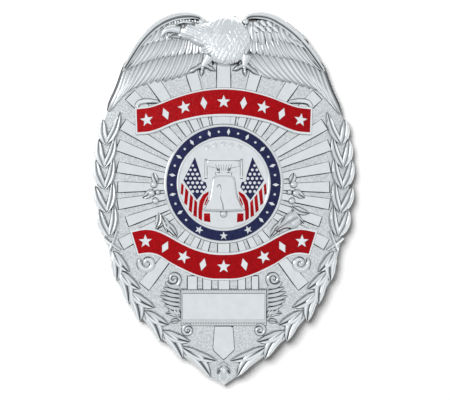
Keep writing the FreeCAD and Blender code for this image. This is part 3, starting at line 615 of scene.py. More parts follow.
def finish_piece(name, bm, material, *nodes, slot="polished_silver", crease=38):
    """Turn a millimetre shape into a finished piece, sharp where faces turn by more than crease."""
    bmesh.ops.recalc_face_normals(bm, faces=bm.faces)
    bmesh.ops.scale(bm, vec=(MM, MM, MM), verts=bm.verts)
    mesh = bpy.data.meshes.new(name)
    bm.to_mesh(mesh)
    bm.free()
    mesh.materials.append(material)
    mesh.shade_smooth()
    mesh.set_sharp_from_angle(angle=math.radians(crease))
    piece = bpy.data.objects.new(name, mesh)
    bpy.context.scene.collection.objects.link(piece)
    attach(piece, "root")
    if nodes:
        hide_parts(*nodes)


# Materials

class Value:
    """A socket in a material, with arithmetic that adds Math nodes."""

    def __init__(self, finish, socket):
        self.finish = finish
        self.socket = socket

    def math(self, operation, other=None, swap=False):
        ends = [self.socket] if other is None else [self.socket, getattr(other, "socket", other)]
        if swap:
            ends.reverse()
        return self.finish.node("Math", {"operation": operation}, dict(enumerate(ends)))

    def __add__(self, other):
        return self.math("ADD", other)

    def __sub__(self, other):
        return self.math("SUBTRACT", other)

    def __rsub__(self, other):
        return self.math("SUBTRACT", other, swap=True)

    def __mul__(self, other):
        return self.math("MULTIPLY", other)

    __radd__ = __add__
    __rmul__ = __mul__


class Finish:
    """A material being built."""

    def __init__(self, name, **constants):
        self.material = bpy.data.materials.new(name)
        self.material.use_nodes = True
        self.tree = self.material.node_tree
        self.shader = self.tree.nodes["Principled BSDF"]
        for socket, value in constants.items():
            self.shader.inputs[socket.replace("_", " ")].default_value = value
        self.place = self.node("TexCoord", {}, {}, "Object")

    def node(self, kind, settings, inputs, output=0):
        made = self.tree.nodes.new("ShaderNode" + kind)
        for key, value in settings.items():
            setattr(made, key, value)
        for key, value in inputs.items():
            value = getattr(value, "socket", value)
            if isinstance(value, bpy.types.NodeSocket):
                self.tree.links.new(value, made.inputs[key])
            else:
                made.inputs[key].default_value = value
        return Value(self, made.outputs[output])

    def feed(self, socket, value):
        self.tree.links.new(value.socket, self.shader.inputs[socket])

    def spread(self, value, low, high, to_low=0.0, to_high=1.0):
        return self.node("MapRange", {}, {0: value, 1: low, 2: high, 3: to_low, 4: to_high})

    def grain(self, size, detail=2.0, rough=0.5):
        """Noise whose lumps are about this many millimetres across."""
        inputs = {"Vector": self.place, "Scale": 1 / (size * MM), "Detail": detail, "Roughness": rough}
        return self.node("TexNoise", {}, inputs)

    def rise(self):
        """Height over the crowned face, in millimetres."""
        cut = self.node("SeparateXYZ", {}, {0: self.place})
        x, y, z = (Value(self, socket) for socket in cut.socket.node.outputs)
        across, up = x * (2 / (WIDTH * MM)), y * (2 / (HEIGHT * MM))
        return z * (1 / MM) - EDGE_THICK - (1 - across * across - up * up) * CROWN

    def facing_up(self):
        """How far the surface faces out of the badge: 1 for flat, 0 for a wall."""
        normal = self.node("NewGeometry", {}, {}, "Normal")
        return self.node("SeparateXYZ", {}, {0: normal}, "Z")

    def colours(self, share, low, high):
        inputs = {"Factor": share, 6: (*low, 1), 7: (*high, 1)}
        return self.node("Mix", {"data_type": "RGBA"}, inputs, "Result")

    def bump(self, height, depth):
        """Bump whose height field is worth this many millimetres."""
        inputs = {"Height": height, "Distance": depth * MM, "Strength": 1.0}
        self.feed("Normal", self.node("Bump", {}, inputs, "Normal"))


MOTTLE_SIZE = 1.7
MOTTLE_DARK = 0.93
FINE_DETAIL = (3.0, 0.6)
WORN_SHARES = (0.85, 1.2)
ROUGHER_HOLLOWS = 0.05
CLOUD_SIZE = 0.8
RIPPLE_SIZE = 2.5
RIPPLE_DEPTH = 0.02
DRAWN_LINE = 0.12
DRAWN_DEPTH = 0.02
DRAWN_STRETCH = (1.0, 0.05, 1.0)
MIDDLE_OF_NOISE = (0.3, 0.7)
CORE_OF_NOISE = (0.42, 0.58)
COOL_DARK = 1.06
COOL_BRIGHT = (1.0, 1.015, 1.01)


def silver(
    name, heights, grain, depth, roughness,
    tone=0.82, dark=0.10, speckle=1.0, wall=0.4, slope=(0.3, 0.75),
):
    """Struck silver with painted shade in its hollows and on its steep walls, bright on its high
    places.

    The painted shade goes from dark to bright between two heights over the crowned face, and from the
    share given by wall to full brightness between the two values of slope. Shade values stored on a
    piece's vertices add more painted shade, and noise gives the metal its own mottle and specks.
    """
    made = Finish(name, Metallic=1.0)
    # Painted shade: darker low in the hollows, full brightness on high places
    lift = made.spread(made.rise(), *heights)
    mottle = made.spread(made.grain(MOTTLE_SIZE), *MIDDLE_OF_NOISE, MOTTLE_DARK, 1.0)
    fine = made.grain(grain, *FINE_DETAIL)
    # Painted shade stored on the vertices: under overlapping feathers, in creases and grooves, along
    # edges
    unshaded = 1 - made.node("Attribute", {"attribute_name": "painted_shade"}, {}, "Fac")
    specks = made.spread(fine, *CORE_OF_NOISE, speckle, 1.0)
    shade = lift * mottle * unshaded * specks * made.spread(made.facing_up(), *slope, wall, 1.0)
    low, high = (dark, dark, dark * COOL_DARK), [tone * share for share in COOL_BRIGHT]
    made.feed("Base Color", made.colours(shade, low, high))
    worn = made.spread(fine, *MIDDLE_OF_NOISE, *(roughness * share for share in WORN_SHARES))
    made.feed("Roughness", worn + (1 - lift) * ROUGHER_HOLLOWS)
    made.bump(fine, depth)
    return made.material


def enamel(name, deep, bright):
    """Glossy glass enamel with a faint cloud in it and a slightly rippled surface."""
    made = Finish(name, Roughness=0.2, Specular_IOR_Level=0.12)
    cloud = made.spread(made.grain(CLOUD_SIZE), *MIDDLE_OF_NOISE)
    made.feed("Base Color", made.colours(cloud, deep, bright))
    made.bump(made.grain(RIPPLE_SIZE, 1.0), RIPPLE_DEPTH)
    return made.material


def pin_metal():
    """Plain steel with fine lines drawn along the bar."""
    made = Finish("pin_steel", Metallic=1.0)
    drawn = made.node("Mapping", {}, {"Vector": made.place, "Scale": DRAWN_STRETCH})
    lines = made.node("TexNoise", {}, {"Vector": drawn, "Scale": 1 / (DRAWN_LINE * MM), "Detail": 3.0})
    made.feed("Base Color", made.colours(lines, (0.42, 0.42, 0.44), (0.62, 0.62, 0.64)))
    made.feed("Roughness", made.spread(lines, *MIDDLE_OF_NOISE, 0.28, 0.42))
    made.bump(lines, DRAWN_DEPTH)
    return made.material


polished = silver("polished_silver", (0.1, 0.5), 0.9, 0.010, 0.13, tone=0.88)
leaf_silver = silver(
    "leaf_silver", (0.0, 0.4), 0.9, 0.010, 0.12, tone=0.98, dark=0.05, wall=0.5, slope=(0.1, 0.5),
)
bright_ray = silver("ray_silver", (0.0, 0.1), 0.9, 0.008, 0.13, wall=0.1, slope=(0.6, 0.92))
panel_silver = silver("panel_silver", (0.0, 0.48), 0.9, 0.008, 0.13, wall=0.15, slope=(0.6, 0.92))
stippled = silver("stippled_silver", (-9.0, -8.0), 0.36, 0.045, 0.2, speckle=0.72)
satin = silver("seal_silver", (0.05, 0.22), 0.7, 0.010, 0.16)
feathered = silver(
    "feather_silver", (0.0, 0.42), 0.5, 0.010, 0.13, tone=1.0, dark=0.06, wall=0.25, slope=(0.45, 0.93),
)
breast = silver(
    "breast_silver", (0.1, 0.6), 0.5, 0.015, 0.14, tone=0.96, dark=0.12, wall=0.4, slope=(0.0, 0.5),
)
red_glass = enamel("red_enamel", (0.27, 0.0, 0.002), (0.36, 0.001, 0.004))
blue_glass = enamel("blue_enamel", (0.010, 0.013, 0.050), (0.018, 0.022, 0.078))
steel = pin_metal()


# Struck body: crowned face, flat rim behind it, hollow back

def body_sheet(bm, inset, drop):
    """Crowned sheet cut to the body's outline, drawn in by an inset. Gives its new vertices."""
    before = set(bm.verts)
    columns, rows = SHEET_CELLS
    grid = bmesh.ops.create_grid(bm, x_segments=columns, y_segments=rows, size=1)["verts"]
    for v in grid:
        v.co.x *= SHEET_HALF[0]
        v.co.y *= SHEET_HALF[1]
    for a, b in zip(BODY_LOOP, BODY_LOOP[1:] + BODY_LOOP[:1]):
        side = (Vector(b) - Vector(a)).orthogonal().normalized()
        if side.dot(Vector(a)) < 0:
            side = -side
        made = [v for v in bm.verts if v not in before]
        edges = once_each(e for v in made for e in v.link_edges)
        faces = once_each(f for v in made for f in v.link_faces)
        bmesh.ops.bisect_plane(
            bm, geom=made + edges + faces, dist=SAME_PLACE,
            plane_co=(*(Vector(a) - side * inset), 0), plane_no=(*side, 0), clear_outer=True,
        )
    made = [v for v in bm.verts if v not in before]
    for v in made:
        v.co.z = crown(v.co.x, v.co.y) - drop
    return made


def rim_loop(bm, verts):
    """Pull the edge of a sheet down to the underside. Gives the edges there."""
    ring = extruded_ring(bm, open_edges(verts))
    for v in ring:
        v.co.z = 0
    return edges_among(ring)


def struck_body():
    bm = bmesh.new()
    outer = rim_loop(bm, body_sheet(bm, 0.0, 0.0))
    inner = rim_loop(bm, body_sheet(bm, RIM_WIDTH, WALL))
    bmesh.ops.triangle_fill(bm, edges=outer + inner, use_beauty=True)
    finish_piece("badge_body", bm, stippled, "shield_plate")


def pin_boss():
    """Block inside the hollow that carries the fastener's bar."""
    bm = bmesh.new()
    bmesh.ops.create_cube(bm, size=1)
    for v in bm.verts:
        v.co.x *= PIN_BAR[0] + BOSS_MARGIN
        v.co.y *= PIN_BAR[1] + BOSS_MARGIN
        v.co.z = BOSS_TOP if v.co.z > 0 else PIN_SEAT + BOSS_GAP
    bmesh.ops.bevel(
        bm, geom=bm.edges, offset=BOSS_BEVEL, affect="EDGES", segments=2, profile=0.5, material=-1,
    )
    finish_piece("pin_boss", bm, stippled)


# Rays

def ray_band(bm, angle, reach):
    """One ray on each side, its lower edge standing higher."""
    radii = [mix(RAY_START, reach, k / 6) for k in range(7)]
    turns = (angle, angle + RAY_SPREAD)
    edges = [[around((0, RAY_Y), r, 180 - turn) for r in radii] for turn in turns]
    for left, right in (edges, [flip(edge) for edge in edges]):
        sheet(bm, left, right, lambda t, s: mix(*RAY_SIDES, s), 2, flare=RAY_WALL, sink=RAY_SINK)


def upright_band(bm, x0, x1, y0, y1):
    ys = [mix(y0, y1, k / 4) for k in range(5)]
    left, right = [(x0, y) for y in ys], [(x1, y) for y in ys]
    sheet(bm, left, right, lambda t, s: RAY_RISE, 2, flare=RAY_WALL, sink=RAY_SINK)


def rays():
    bm = bmesh.new()
    for angle, reach in RAYS + RAY_STUBS:
        ray_band(bm, angle, reach)
    upright_band(bm, -TOP_RAY, TOP_RAY, SEAL_Y + SEAL_R - 1, TOP_RAY_END)
    for x0, x1 in LOWER_STUBS:
        upright_band(bm, x0, x1, *LOWER_STUB_ENDS)
    upright_band(bm, -FOOT_RAY, FOOT_RAY, FOOT_RAY_START, SEAL_Y - SEAL_R + 1)
    finish_piece("rays", bm, bright_ray, crease=RAY_CREASE)


# Ribbons

def ribbon_lines(half, inset):
    """Top and bottom lines of a whole ribbon, drawn in by an inset, or out by a negative one."""
    tops, bottoms = [], []
    for top, bottom in half:
        tops.append(towards(top, bottom, inset))
        bottoms.append(towards(bottom, top, inset))
    tops[-1] = towards(tops[-1], tops[-2], inset)
    bottoms[-1] = towards(bottoms[-1], bottoms[-2], inset)
    return [curve_through(flip(line[:0:-1]) + line, RIBBON_POINTS) for line in (tops, bottoms)]


def ribbon_border(name, half):
    bm = bmesh.new()
    lines = ribbon_lines(half, -RIBBON_BORDER)
    tile(bm, *lines, RIBBON_EDGE, RIBBON_CHAMFER, RIBBON_CELLS, under=RIBBON_EDGE - RIBBON_CHAMFER)
    finish_piece(name + "_border", bm, polished)


def ribbon_glass(name, half):
    """Enamel that fills a ribbon and stands a little proud of its border."""
    bm = bmesh.new()
    top, low = RIBBON_EDGE + GLASS_PROUD, RIBBON_EDGE - GLASS_DEPTH
    tile(bm, *ribbon_lines(half, 0.0), top, GLASS_CHAMFER, RIBBON_CELLS, under=low)
    finish_piece(name + "_glass", bm, red_glass, name + "_enamel", slot="red_enamel")


def ribbon_marks(name, half):
    """Stars and lozenges by turns along a ribbon's middle, standing through its enamel."""
    bm = bmesh.new()
    tops, bottoms = ribbon_lines(half, 0.0)
    middles = [((a[0] + b[0]) / 2, (a[1] + b[1]) / 2) for a, b in zip(tops, bottoms)]
    line = resample(middles, 2 * RIBBON_MARKS + 1)
    for k in range(RIBBON_MARKS):
        before, here, after = line[2 * k:2 * k + 3]
        turn = math.degrees(math.atan2(after[1] - before[1], after[0] - before[0]))
        outline = star_points(here, STAR_R, turn) if k % 2 == 0 else lozenge_points(here, LOZENGE, turn)
        mound(bm, outline, here, MARK_STEPS)
    finish_piece(name + "_marks", bm, polished)


def ribbons():
    for name, half in (("upper_ribbon", UPPER_RIBBON), ("lower_ribbon", LOWER_RIBBON)):
        ribbon_border(name, half)
        ribbon_glass(name, half)
        ribbon_marks(name, half)


# Leaves and wreath

LEAF_WIDTHS = [0.15, 0.68, 0.95, 1.0, 0.97, 0.84, 0.56, 0.06]
LEAF_LEVELS = [0.75, 1.0, 1.05, 1.0, 0.8]
# Painted shade across a leaf: dark along its middle crease and at its edges
LEAF_PAINTED_SHADE = [0.5, 0.1, 0.0, 0.0, 0.3, 1.0, 0.5, 0.0, 0.0, 0.1, 0.5]
LEAF_PROFILE = [0.5, 0.74, 0.84, 0.82, 0.68, 0.54, 0.70, 0.84, 0.86, 0.76, 0.5]
# How strong a leaf's painted shade is when no other strength is given
LEAF_CREASE_SHADE = 0.6
STEM_HALF_WIDTH = 0.32
STEM_PROFILE = [0.5, 0.8, 0.9, 0.8, 0.5]


def leaf(bm, root, tip, half_width, lift, bend=0.0, foot=None, crease=LEAF_CREASE_SHADE):
    """Creased leaf; crease is how much painted shade its middle line and its edges get."""
    dark = [crease * value for value in LEAF_PAINTED_SHADE]
    blade(
        bm, bent(root, tip, bend), taper(LEAF_WIDTHS, half_width), LEAF_PROFILE,
        taper(LEAF_LEVELS, lift), foot, steps=14, painted_shade=dark,
    )


def wreath():
    bm = bmesh.new()
    for pairs, width, crease in WREATH:
        for root, inner, outer in pairs:
            for side in (1, -1):
                a, b, c = ((side * x, y) for x, y in (root, inner, outer))
                wider = width * OUTER_LEAF_WIDER
                leaf(bm, a, c, wider, OUTER_LIFT, OUTER_BEND * side, RIM_FOOT, crease)
                leaf(bm, a, b, width, INNER_LIFT, INNER_BEND * side, None, crease)
    for stem in STEMS:
        for line in (stem, flip(stem)):
            blade(bm, line, lambda t: STEM_HALF_WIDTH, STEM_PROFILE, steps=10)
    finish_piece("wreath", bm, leaf_silver)


# Eagle

def dome_share(dome, x, y):
    """How far a place is into a dome: 1 at its middle, 0 at its edge and below 0 outside."""
    (cx, cy), (a, b), turn, _ = dome
    place = Matrix.Rotation(math.radians(-turn), 2) @ Vector((x - cx, y - cy))
    return 1 - (place.x / a) ** 2 - (place.y / b) ** 2


def dome_height(x, y):
    """Height of the eagle's breast, neck or head over the underside."""
    best = crown(x, y)
    for dome in DOMES:
        share = dome_share(dome, x, y)
        if share > 0:
            best = max(best, crown(x, y) + DOME_EDGE + (dome[3] - DOME_EDGE) * math.sqrt(share))
    return best


def add_dome(bm, dome):
    """Dome on the crowned face. Its underside stays in the metal of wall or rim."""
    (cx, cy), (a, b), turn, height = dome
    made = bmesh.ops.create_uvsphere(bm, u_segments=48, v_segments=28, radius=1)["verts"]
    spin = Matrix.Rotation(math.radians(turn), 2)
    for v in made:
        place = spin @ Vector((v.co.x * a, v.co.y * b))
        x, y, up = cx + place.x, cy + place.y, v.co.z
        base = crown(x, y) + DOME_EDGE
        depth = base if y > RIM_TOP else SINK + DOME_EDGE
        v.co = (x, y, base + up * (height - DOME_EDGE if up > 0 else depth))


def scale_feather(bm, at, degrees, length, half_width, lift):
    """Small feather on the domes whose tip points along an angle."""
    line = [around(at, -length / 2, degrees), at, around(at, length / 2, degrees)]
    blade(
        bm, line, taper(SCALE_WIDTHS, half_width), SCALE_PROFILE, taper(SCALE_LEVELS, lift),
        ground=dome_height, steps=6,
    )


def eagle_body():
    bm = bmesh.new()
    for dome in DOMES:
        add_dome(bm, dome)
    on_breast, on_neck, on_head = DOMES
    pick = random.Random(4)
    middle = (BREAST_ROWS - 1) / 2
    for row in range(BREAST_ROWS):
        for column in range(BREAST_ROWS):
            x = BREAST[0] + (column - middle + 0.5 * (row % 2)) * BREAST_PITCH[0]
            y = BREAST[1] + (middle - row) * BREAST_PITCH[1]
            if dome_share(on_breast, x, y) < BREAST_SCALES_END or dome_share(on_head, x, y) > 0:
                continue
            stray = pick.uniform(-BREAST_STRAY, BREAST_STRAY)
            turn = BREAST_FLOW + BREAST_FAN * (x - BREAST[0]) / BREAST_R + stray
            scale_feather(bm, (x, y), turn, *BREAST_SCALE, pick.uniform(*BREAST_SCALE_LIFTS))
    columns, rows = NECK_CELLS
    for row in range(rows):
        for column in range(columns):
            x = NECK_START[0] + column * NECK_PITCH[0]
            y = NECK_START[1] + row * NECK_PITCH[1] + NECK_STAGGER * (column % 2)
            share = max(dome_share(on_neck, x, y), dome_share(on_head, x, y))
            on_other = dome_share(on_breast, x, y) > NECK_OVER_BREAST
            if share < NECK_SCALES_END or on_other or x < FACE_X:
                continue
            turn = NECK_FLOW + NECK_FAN * row + pick.uniform(-NECK_STRAY, NECK_STRAY)
            scale_feather(bm, (x, y), turn, *NECK_SCALE, NECK_SCALE_LIFT)
    finish_piece("eagle_body", bm, breast)


def beak_and_claws():
    bm = bmesh.new()
    blade(bm, BEAK, taper(BEAK_WIDTHS), BEAK_PROFILE, taper(BEAK_LEVELS), steps=16)
    blade(bm, LOWER_BEAK, taper(LOWER_BEAK_WIDTHS), LOWER_BEAK_PROFILE, steps=8)
    blade(bm, BROW, taper(BROW_WIDTHS), BROW_PROFILE, steps=12)
    mound(bm, ring_of(EYE, EYE_R, 16), EYE, EYE_STEPS)
    for hip, foot in LEGS:
        blade(bm, [hip, foot], taper(LEG_WIDTHS), LEG_PROFILE, taper(LEG_LEVELS))
    # Toes carry painted shade along their sides
    for heel, claw in TOES:
        blade(
            bm, [heel, claw], taper(TOE_WIDTHS), TOE_PROFILE, taper(TOE_LEVELS), painted_shade=TOE_PAINTED_SHADE,
        )
    finish_piece("beak_and_claws", bm, polished)


# Wings

FEATHER_WIDTHS = [1.0, 1.0, 1.0, 1.0, 0.97, 0.86, 0.30]
FEATHER_LEVELS = [1.0, 1.0, 0.97, 0.9, 0.72]
FEATHER_PROFILE = [0.02, 0.15, 0.15, 0.13, 0.15, 0.23, 0.18, 0.15, 0.18, 0.26, 0.18]
# Painted shade across a feather, heaviest on the side under its neighbour; along it, more at the root
# under the row above and a little at the tip; then the most these may add up to
FEATHER_PAINTED_SHADE = [1.0, 1.0, 0.95, 0.55, 0.1, 0.0, 0.25, 0.5, 0.2, 0.0, 0.0]
ROOT_PAINTED_SHADE = [0.35, 0.12, 0.0, 0.0, 0.1]
MOST_PAINTED_SHADE = 0.9
ROOT_SHARE = 0.62
TIP_SHARE = 0.60
NARROWEST = 0.36
FEATHER_TUCK = 0.25
FEATHER_DIP = 0.25
FEATHER_BOW = 0.035
FEATHER_FLARE = 0.08


def feather(bm, root, tip, widths, level, lean):
    """One long feather, with painted shade on the side that lies under its neighbour and towards its
    root. The side that leans over its neighbour is the bright one.
    """
    across = len(FEATHER_PROFILE) - 1

    def turned_side(s):
        return 1 - s if lean > 0 else s

    def half_width(t):
        return max(mix(*widths, t), NARROWEST) * values_at(FEATHER_WIDTHS, t)

    def rise(t, s):
        ridge = FEATHER_PROFILE[round(turned_side(s) * across)]
        return level * values_at(FEATHER_LEVELS, t) + ridge - FEATHER_DIP

    def painted_shade(t, s):
        dark = values_at(FEATHER_PAINTED_SHADE, turned_side(s)) + values_at(ROOT_PAINTED_SHADE, t)
        return min(dark, MOST_PAINTED_SHADE)

    left, right = rails(curve_through(bent(root, tip, FEATHER_BOW * lean), 15), half_width)
    sheet(bm, left, right, rise, across, flare=FEATHER_FLARE, painted_shade=painted_shade)


def feather_row(bm, roots, tips, count, level, lean):
    """Overlapping feathers side by side, each one leaning over its neighbour."""
    starts, ends = curve_through(roots, count), curve_through(tips, count)
    for k in range(count):
        near = k + 1 if k + 1 < count else k - 1
        at_root = math.dist(starts[k], starts[near]) * ROOT_SHARE
        at_tip = math.dist(ends[k], ends[near]) * TIP_SHARE
        root = towards(starts[k], ends[k], -FEATHER_TUCK)
        feather(bm, root, ends[k], (at_root, at_tip), level, lean)


def coverts(bm):
    """Short plain feathers at the right wing's shoulder."""
    for x, y in COVERTS:
        line = [(x + dx, y + dy) for dx, dy in COVERT_RUN]
        blade(bm, line, taper(COVERT_WIDTHS), COVERT_PROFILE, steps=6)


def arch(name, line):
    """Smooth leading edge of a wing, with a groove nearer the feathers that carries painted shade, and
    a knob at its root.
    """
    bm = bmesh.new()
    profile, painted_shade = ARCH_PROFILE, ARCH_PAINTED_SHADE
    if line[0][0] < 0:
        profile, painted_shade = profile[::-1], painted_shade[::-1]
    widths = taper(ARCH_HALF_WIDTHS, ARCH_WIDER)
    blade(bm, line, widths, profile, foot=RIM_FOOT, steps=48, painted_shade=painted_shade)
    mound(bm, ring_of(line[0], ARCH_KNOB_R, 20), line[0], ARCH_KNOB_STEPS)
    finish_piece(name, bm, polished)


def wings():
    for name, rows, line, lean in (
        ("left_wing", LEFT_WING, LEFT_ARCH, 1), ("right_wing", RIGHT_WING, RIGHT_ARCH, -1),
    ):
        bm = bmesh.new()
        for roots, tips, count, level in rows:
            feather_row(bm, roots, tips, count, level, lean)
        if name == "right_wing":
            coverts(bm)
        finish_piece(name, bm, feathered)
        arch(name + "_arch", line)


# Seal

def turned(bm, profile):
    """Spin a profile of (radius, height over the crowned face) about the seal's middle."""
    verts = [bm.verts.new((r, 0, h)) for r, h in profile]
    edges = [bm.edges.new(pair) for pair in zip(verts, verts[1:])]
    bmesh.ops.spin(
        bm, geom=verts + edges, cent=(0, 0, 0), axis=(0, 0, 1), angle=2 * math.pi, steps=SEAL_STEPS,
        use_merge=True,
    )
    bmesh.ops.remove_doubles(bm, verts=bm.verts, dist=SAME_PLACE)
    for v in bm.verts:
        v.co.y += SEAL_Y
        v.co.z += crown(v.co.x, v.co.y)


def small_relief(bm, outline, middle, top):
    shoulder = mix(SEAL_GROUND, top, 0.6)
    mound(bm, outline, middle, [(1.0, SEAL_GROUND), (0.92, shoulder), (0.6, top), (0.08, top)])


def seal_face():
    bm = bmesh.new()
    turned(bm, SEAL_PROFILE)
    finish_piece("seal_face", bm, satin, "seal_disc")


def seal_ring():
    bm = bmesh.new()
    turned(bm, RING_PROFILE)
    finish_piece("seal_ring", bm, blue_glass, "seal_ring_enamel", slot="blue_enamel")


def seal_marks():
    """Three stars at the foot of the blue ring, with beads and lozenges round the rest of it."""
    bm = bmesh.new()
    middle, radius = (0.0, SEAL_Y), (SEAL_LIP + SEAL_INNER) / 2
    for turn in SEAL_STARS:
        at = around(middle, radius, turn - 90)
        mound(bm, star_points(at, SEAL_STAR_R, turn), at, SEAL_STAR_STEPS)
    for k in range(RING_BEADS):
        turn = -90 + RING_BEAD_GAP + (360 - 2 * RING_BEAD_GAP) * k / (RING_BEADS - 1)
        at = around(middle, radius, turn)
        if k % 2:
            mound(bm, ring_of(at, RING_BEAD_R, 12), at, RING_BEAD_STEPS)
        else:
            mound(bm, lozenge_points(at, RING_LOZENGE, turn), at, RING_LOZENGE_STEPS)
    finish_piece("seal_marks", bm, satin)


def bell_and_dots():
    """Bell with its lip, crack and clapper, the small stars over it and the dots on both flags."""
    bm = bmesh.new()
    mound(bm, curve_through(BELL + BELL[:1], 61)[:-1], BELL_MIDDLE, BELL_STEPS)
    blade(bm, BELL_LIP, lambda t: BELL_LIP_HALF_WIDTH, BELL_LIP_PROFILE, steps=20)
    blade(bm, BELL_CRACK, lambda t: BELL_CRACK_HALF_WIDTH, BELL_CRACK_PROFILE, steps=24)
    mound(bm, ring_of(CLAPPER, CLAPPER_R, 20), CLAPPER, CLAPPER_STEPS)
    for at in SMALL_STARS:
        mound(bm, star_points(at, SMALL_STAR_R), at, SMALL_STAR_STEPS)
    columns, rows = DOT_CELLS
    for side in (1, -1):
        for row in range(rows):
            for column in range(columns):
                x = DOT_START[0] + column * DOT_PITCH[0] + DOT_PITCH[0] / 2 * (row % 2)
                y = DOT_START[1] - row * DOT_PITCH[1]
                if inside(CANTON, (x, y), DOT_R):
                    at = (x * side, y)
                    mound(bm, ring_of(at, DOT_R, 10), at, DOT_STEPS)
    finish_piece("bell_and_dots", bm, satin)


def flag_stripes(name, side):
    """Red enamel stripes of one flag, in place of the same number of nodes."""
    bm = bmesh.new()
    for outline in STRIPES:
        placed = [(x * side, y) for x, y in outline]
        middle = (sum(x for x, _ in placed) / len(placed), sum(y for _, y in placed) / len(placed))
        mound(bm, placed, middle, STRIPE_STEPS)
    nodes = [f"flag_stripe_{name}_{k + 1}" for k in range(len(STRIPES))]
    finish_piece(f"{name}_flag_stripes", bm, red_glass, *nodes, slot="red_enamel")


def bell_frame():
    """Yoke, cap and posts that hold the bell, and the fine rays over it."""
    bm = bmesh.new()
    for outline in (YOKE, CAP):
        centre = (0.0, sum(y for _, y in outline) / len(outline))
        small_relief(bm, outline, centre, BELL_FRAME_RISE)
    low, high = POST_Y
    for x in (-POST_X, POST_X):
        left, right = x - POST_HALF_WIDTH, x + POST_HALF_WIDTH
        outline = [(left, low), (right, low), (right, high), (left, high)]
        small_relief(bm, outline, (x, (low + high) / 2), BELL_FRAME_RISE)
    for k in range(FINE_RAYS):
        x = FINE_RAY_START + FINE_RAY_PITCH * k
        line = [(x * FINE_RAY_CLOSING, FINE_RAY_Y[0]), (x, FINE_RAY_Y[1])]
        blade(bm, line, lambda t: FINE_RAY_HALF_WIDTH, FINE_RAY_PROFILE, steps=4)
    finish_piece("bell_frame", bm, panel_silver)


def seal():
    seal_face()
    seal_ring()
    seal_marks()
    bell_and_dots()
    flag_stripes("left", 1)
    flag_stripes("right", -1)
    bell_frame()


# Panel, ribs, scrolls, fruit and leaves

def panel_sheet(bm, box, rise, chamfer):
    x0, x1, y0, y1 = box
    xs = [mix(x0, x1, k / 12) for k in range(13)]
    tile(bm, [(x, y0) for x in xs], [(x, y1) for x in xs], rise, chamfer)


def number_panel():
    """Bare panel in a frame with a row of small beads over it and another under it."""
    bm = bmesh.new()
    panel_sheet(bm, PLAQUE_FRAME, PANEL_FRAME_RISE, PANEL_FRAME_CHAMFER)
    panel_sheet(bm, PLAQUE, PANEL_RISE, PANEL_CHAMFER)
    for y in PANEL_BEAD_Y:
        for k in range(PANEL_BEADS):
            at = (mix(-PANEL_BEAD_X, PANEL_BEAD_X, k / (PANEL_BEADS - 1)), y)
            mound(bm, ring_of(at, PANEL_BEAD_R, 8), at, PANEL_BEAD_STEPS)
    finish_piece("number_panel", bm, panel_silver)


def tail_ray():
    bm = bmesh.new()
    mound(bm, resample(TAIL + TAIL[:1], 31)[:-1], TAIL_MIDDLE, TAIL_STEPS)
    finish_piece("tail_ray", bm, bright_ray)


def spiral(bm, at, radius, start, sweep, width, side):
    """Scroll that winds in over a sweep in degrees."""
    line = []
    for k in range(28):
        share = k / 27
        x, y = around(at, radius * mix(1.0, SCROLL_EYE, share), start + sweep * share)
        line.append((x * side, y))
    blade(bm, line, taper(SCROLL_WIDTHS, width), SCROLL_PROFILE, taper(SCROLL_LEVELS), steps=54)


def ribs(bm, side):
    """Ribs beside the panel, one under the other."""
    for k, reach in enumerate(RIB_REACH):
        y = RIB_TOP - k * RIB_PITCH
        line = [(side * x, y + dy) for x, dy in (*RIB_INNER, (reach, RIB_TURN_UP))]
        blade(bm, line, taper(RIB_WIDTHS), RIB_PROFILE, steps=12)


def leaves(bm, places, side, half_width, lift, bend):
    for root, tip in places:
        a, b = ((x * side, y) for x, y in (root, tip))
        leaf(bm, a, b, half_width, lift, bend * side)


def scrolls_and_fruit():
    """Bud at the foot, and on each side the ribs, scrolls, ribbon's fold, fruit and leaves."""
    bm = bmesh.new()
    mound(bm, resample(BUD + BUD[:1], 25)[:-1], BUD_MIDDLE, BUD_STEPS)
    for side in (-1, 1):
        leaves(bm, BUD_LEAVES, side, 0.5, 1.4, 0.0)
        ribs(bm, side)
        leaves(bm, FOOT_LEAVES, side, 0.55, 0.85, -0.1)
        for at, radius, start, sweep, width in VOLUTES:
            spiral(bm, at, radius, start, sweep, width, -side)
        fold = [(x * side, y) for x, y in RIBBON_FOLD]
        blade(bm, fold, taper(FOLD_WIDTHS), FOLD_PROFILE, steps=16)
        for (x, y), radius in FRUITS:
            at = (x * side, y)
            mound(bm, ring_of(at, radius, 20), at, FRUIT_STEPS)
        leaves(bm, SPRAYS if side < 0 else SPRAYS[LEFT_SPRAYS:], side, 0.8, 1.1, 0.08)
    # The flower carries painted shade at its edges and along its middle
    blade(
        bm, FLOWER, taper(FLOWER_WIDTHS), FLOWER_PROFILE, taper(FLOWER_LEVELS), steps=24,
        painted_shade=FLOWER_PAINTED_SHADE,
    )
    finish_piece("scrolls_and_fruit", bm, polished)


def dress_nodes():
    """Give the nodes that stay their finishes."""
    finishes = {"pin_back": steel, "flag_canton_left": blue_glass, "flag_canton_right": blue_glass}
    for name, material in finishes.items():
        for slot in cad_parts[name].material_slots:
            slot.material = material


# Camera, light and floor

CAMERA_Z = 0.50
FACE_Z = 3 * MM
PICTURE_WIDTH = 450
MM_PER_PIXEL = 0.2206
MIDDLE_PIXEL = (225, 200)
BADGE_PIXEL = (223.7, 199)

# Lamps: place in metres, side in metres and power in watts
OVERHEAD_LAMP = ((0.0, 0.0, 0.9), 1.15, 0.95)
KEY_LAMP = ((-0.27, 0.30, 0.75), 0.50, 8.8)
GLINT_LAMP = ((-0.70, 0.16, 0.55), 0.40, 0.9)
ROOM_TINT = (0.9, 0.95, 1.0, 1)
ROOM_STRENGTH = 0.72
FLOOR_HALF = 3
FLOOR_GLOW = 0.1


def into_scene(name, data):
    made = bpy.data.objects.new(name, data)
    bpy.context.scene.collection.objects.link(made)
    return made


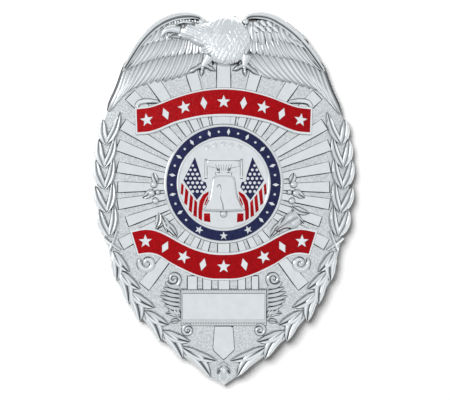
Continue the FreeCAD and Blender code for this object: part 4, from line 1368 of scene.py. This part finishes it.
def camera():
    """Camera straight over the badge, framed as in the photograph."""
    lens = bpy.data.cameras.new("camera")
    lens.lens = lens.sensor_width * (CAMERA_Z - FACE_Z) / (PICTURE_WIDTH * MM_PER_PIXEL * MM)
    view = into_scene("camera", lens)
    view.location = (
        (MIDDLE_PIXEL[0] - BADGE_PIXEL[0]) * MM_PER_PIXEL * MM,
        (BADGE_PIXEL[1] - MIDDLE_PIXEL[1]) * MM_PER_PIXEL * MM, CAMERA_Z,
    )
    bpy.context.scene.camera = view


def area_light(name, place, side, power):
    """Square lamp that faces the middle of the badge."""
    lamp = bpy.data.lights.new(name, "AREA")
    lamp.size = side
    lamp.energy = power
    made = into_scene(name, lamp)
    made.location = place
    made.rotation_euler = (-Vector(place)).to_track_quat("-Z", "Y").to_euler()
    return made


def lamps():
    """Soft lamps. The key lamp throws the shadow and isn't mirrored in the metal."""
    area_light("overhead_lamp", *OVERHEAD_LAMP)
    area_light("key_lamp", *KEY_LAMP).visible_glossy = False
    area_light("glint_lamp", *GLINT_LAMP)


def room():
    """Pale surroundings that the metal mirrors, kept out of diffuse light for a clear shadow."""
    world = bpy.data.worlds.new("studio")
    world.use_nodes = True
    background = world.node_tree.nodes["Background"]
    background.inputs["Color"].default_value = ROOM_TINT
    background.inputs["Strength"].default_value = ROOM_STRENGTH
    world.cycles_visibility.diffuse = False
    bpy.context.scene.world = world
    bpy.context.scene.view_settings.view_transform = "Standard"


def floor():
    bm = bmesh.new()
    bmesh.ops.create_grid(bm, x_segments=1, y_segments=1, size=FLOOR_HALF)
    mesh = bpy.data.meshes.new("floor")
    bm.to_mesh(mesh)
    bm.free()
    glow = {"Emission_Color": (1, 1, 1, 1), "Emission_Strength": FLOOR_GLOW}
    paper = Finish("floor_paper", Roughness=0.9, **glow)
    paper.feed("Base Color", paper.colours(paper.grain(3.0), (0.93, 0.93, 0.93), (0.95, 0.95, 0.95)))
    mesh.materials.append(paper.material)
    into_scene("floor", mesh)


struck_body()
pin_boss()
rays()
ribbons()
wreath()
eagle_body()
beak_and_claws()
wings()
seal()
number_panel()
tail_ray()
scrolls_and_fruit()
dress_nodes()
camera()
lamps()
room()
floor()
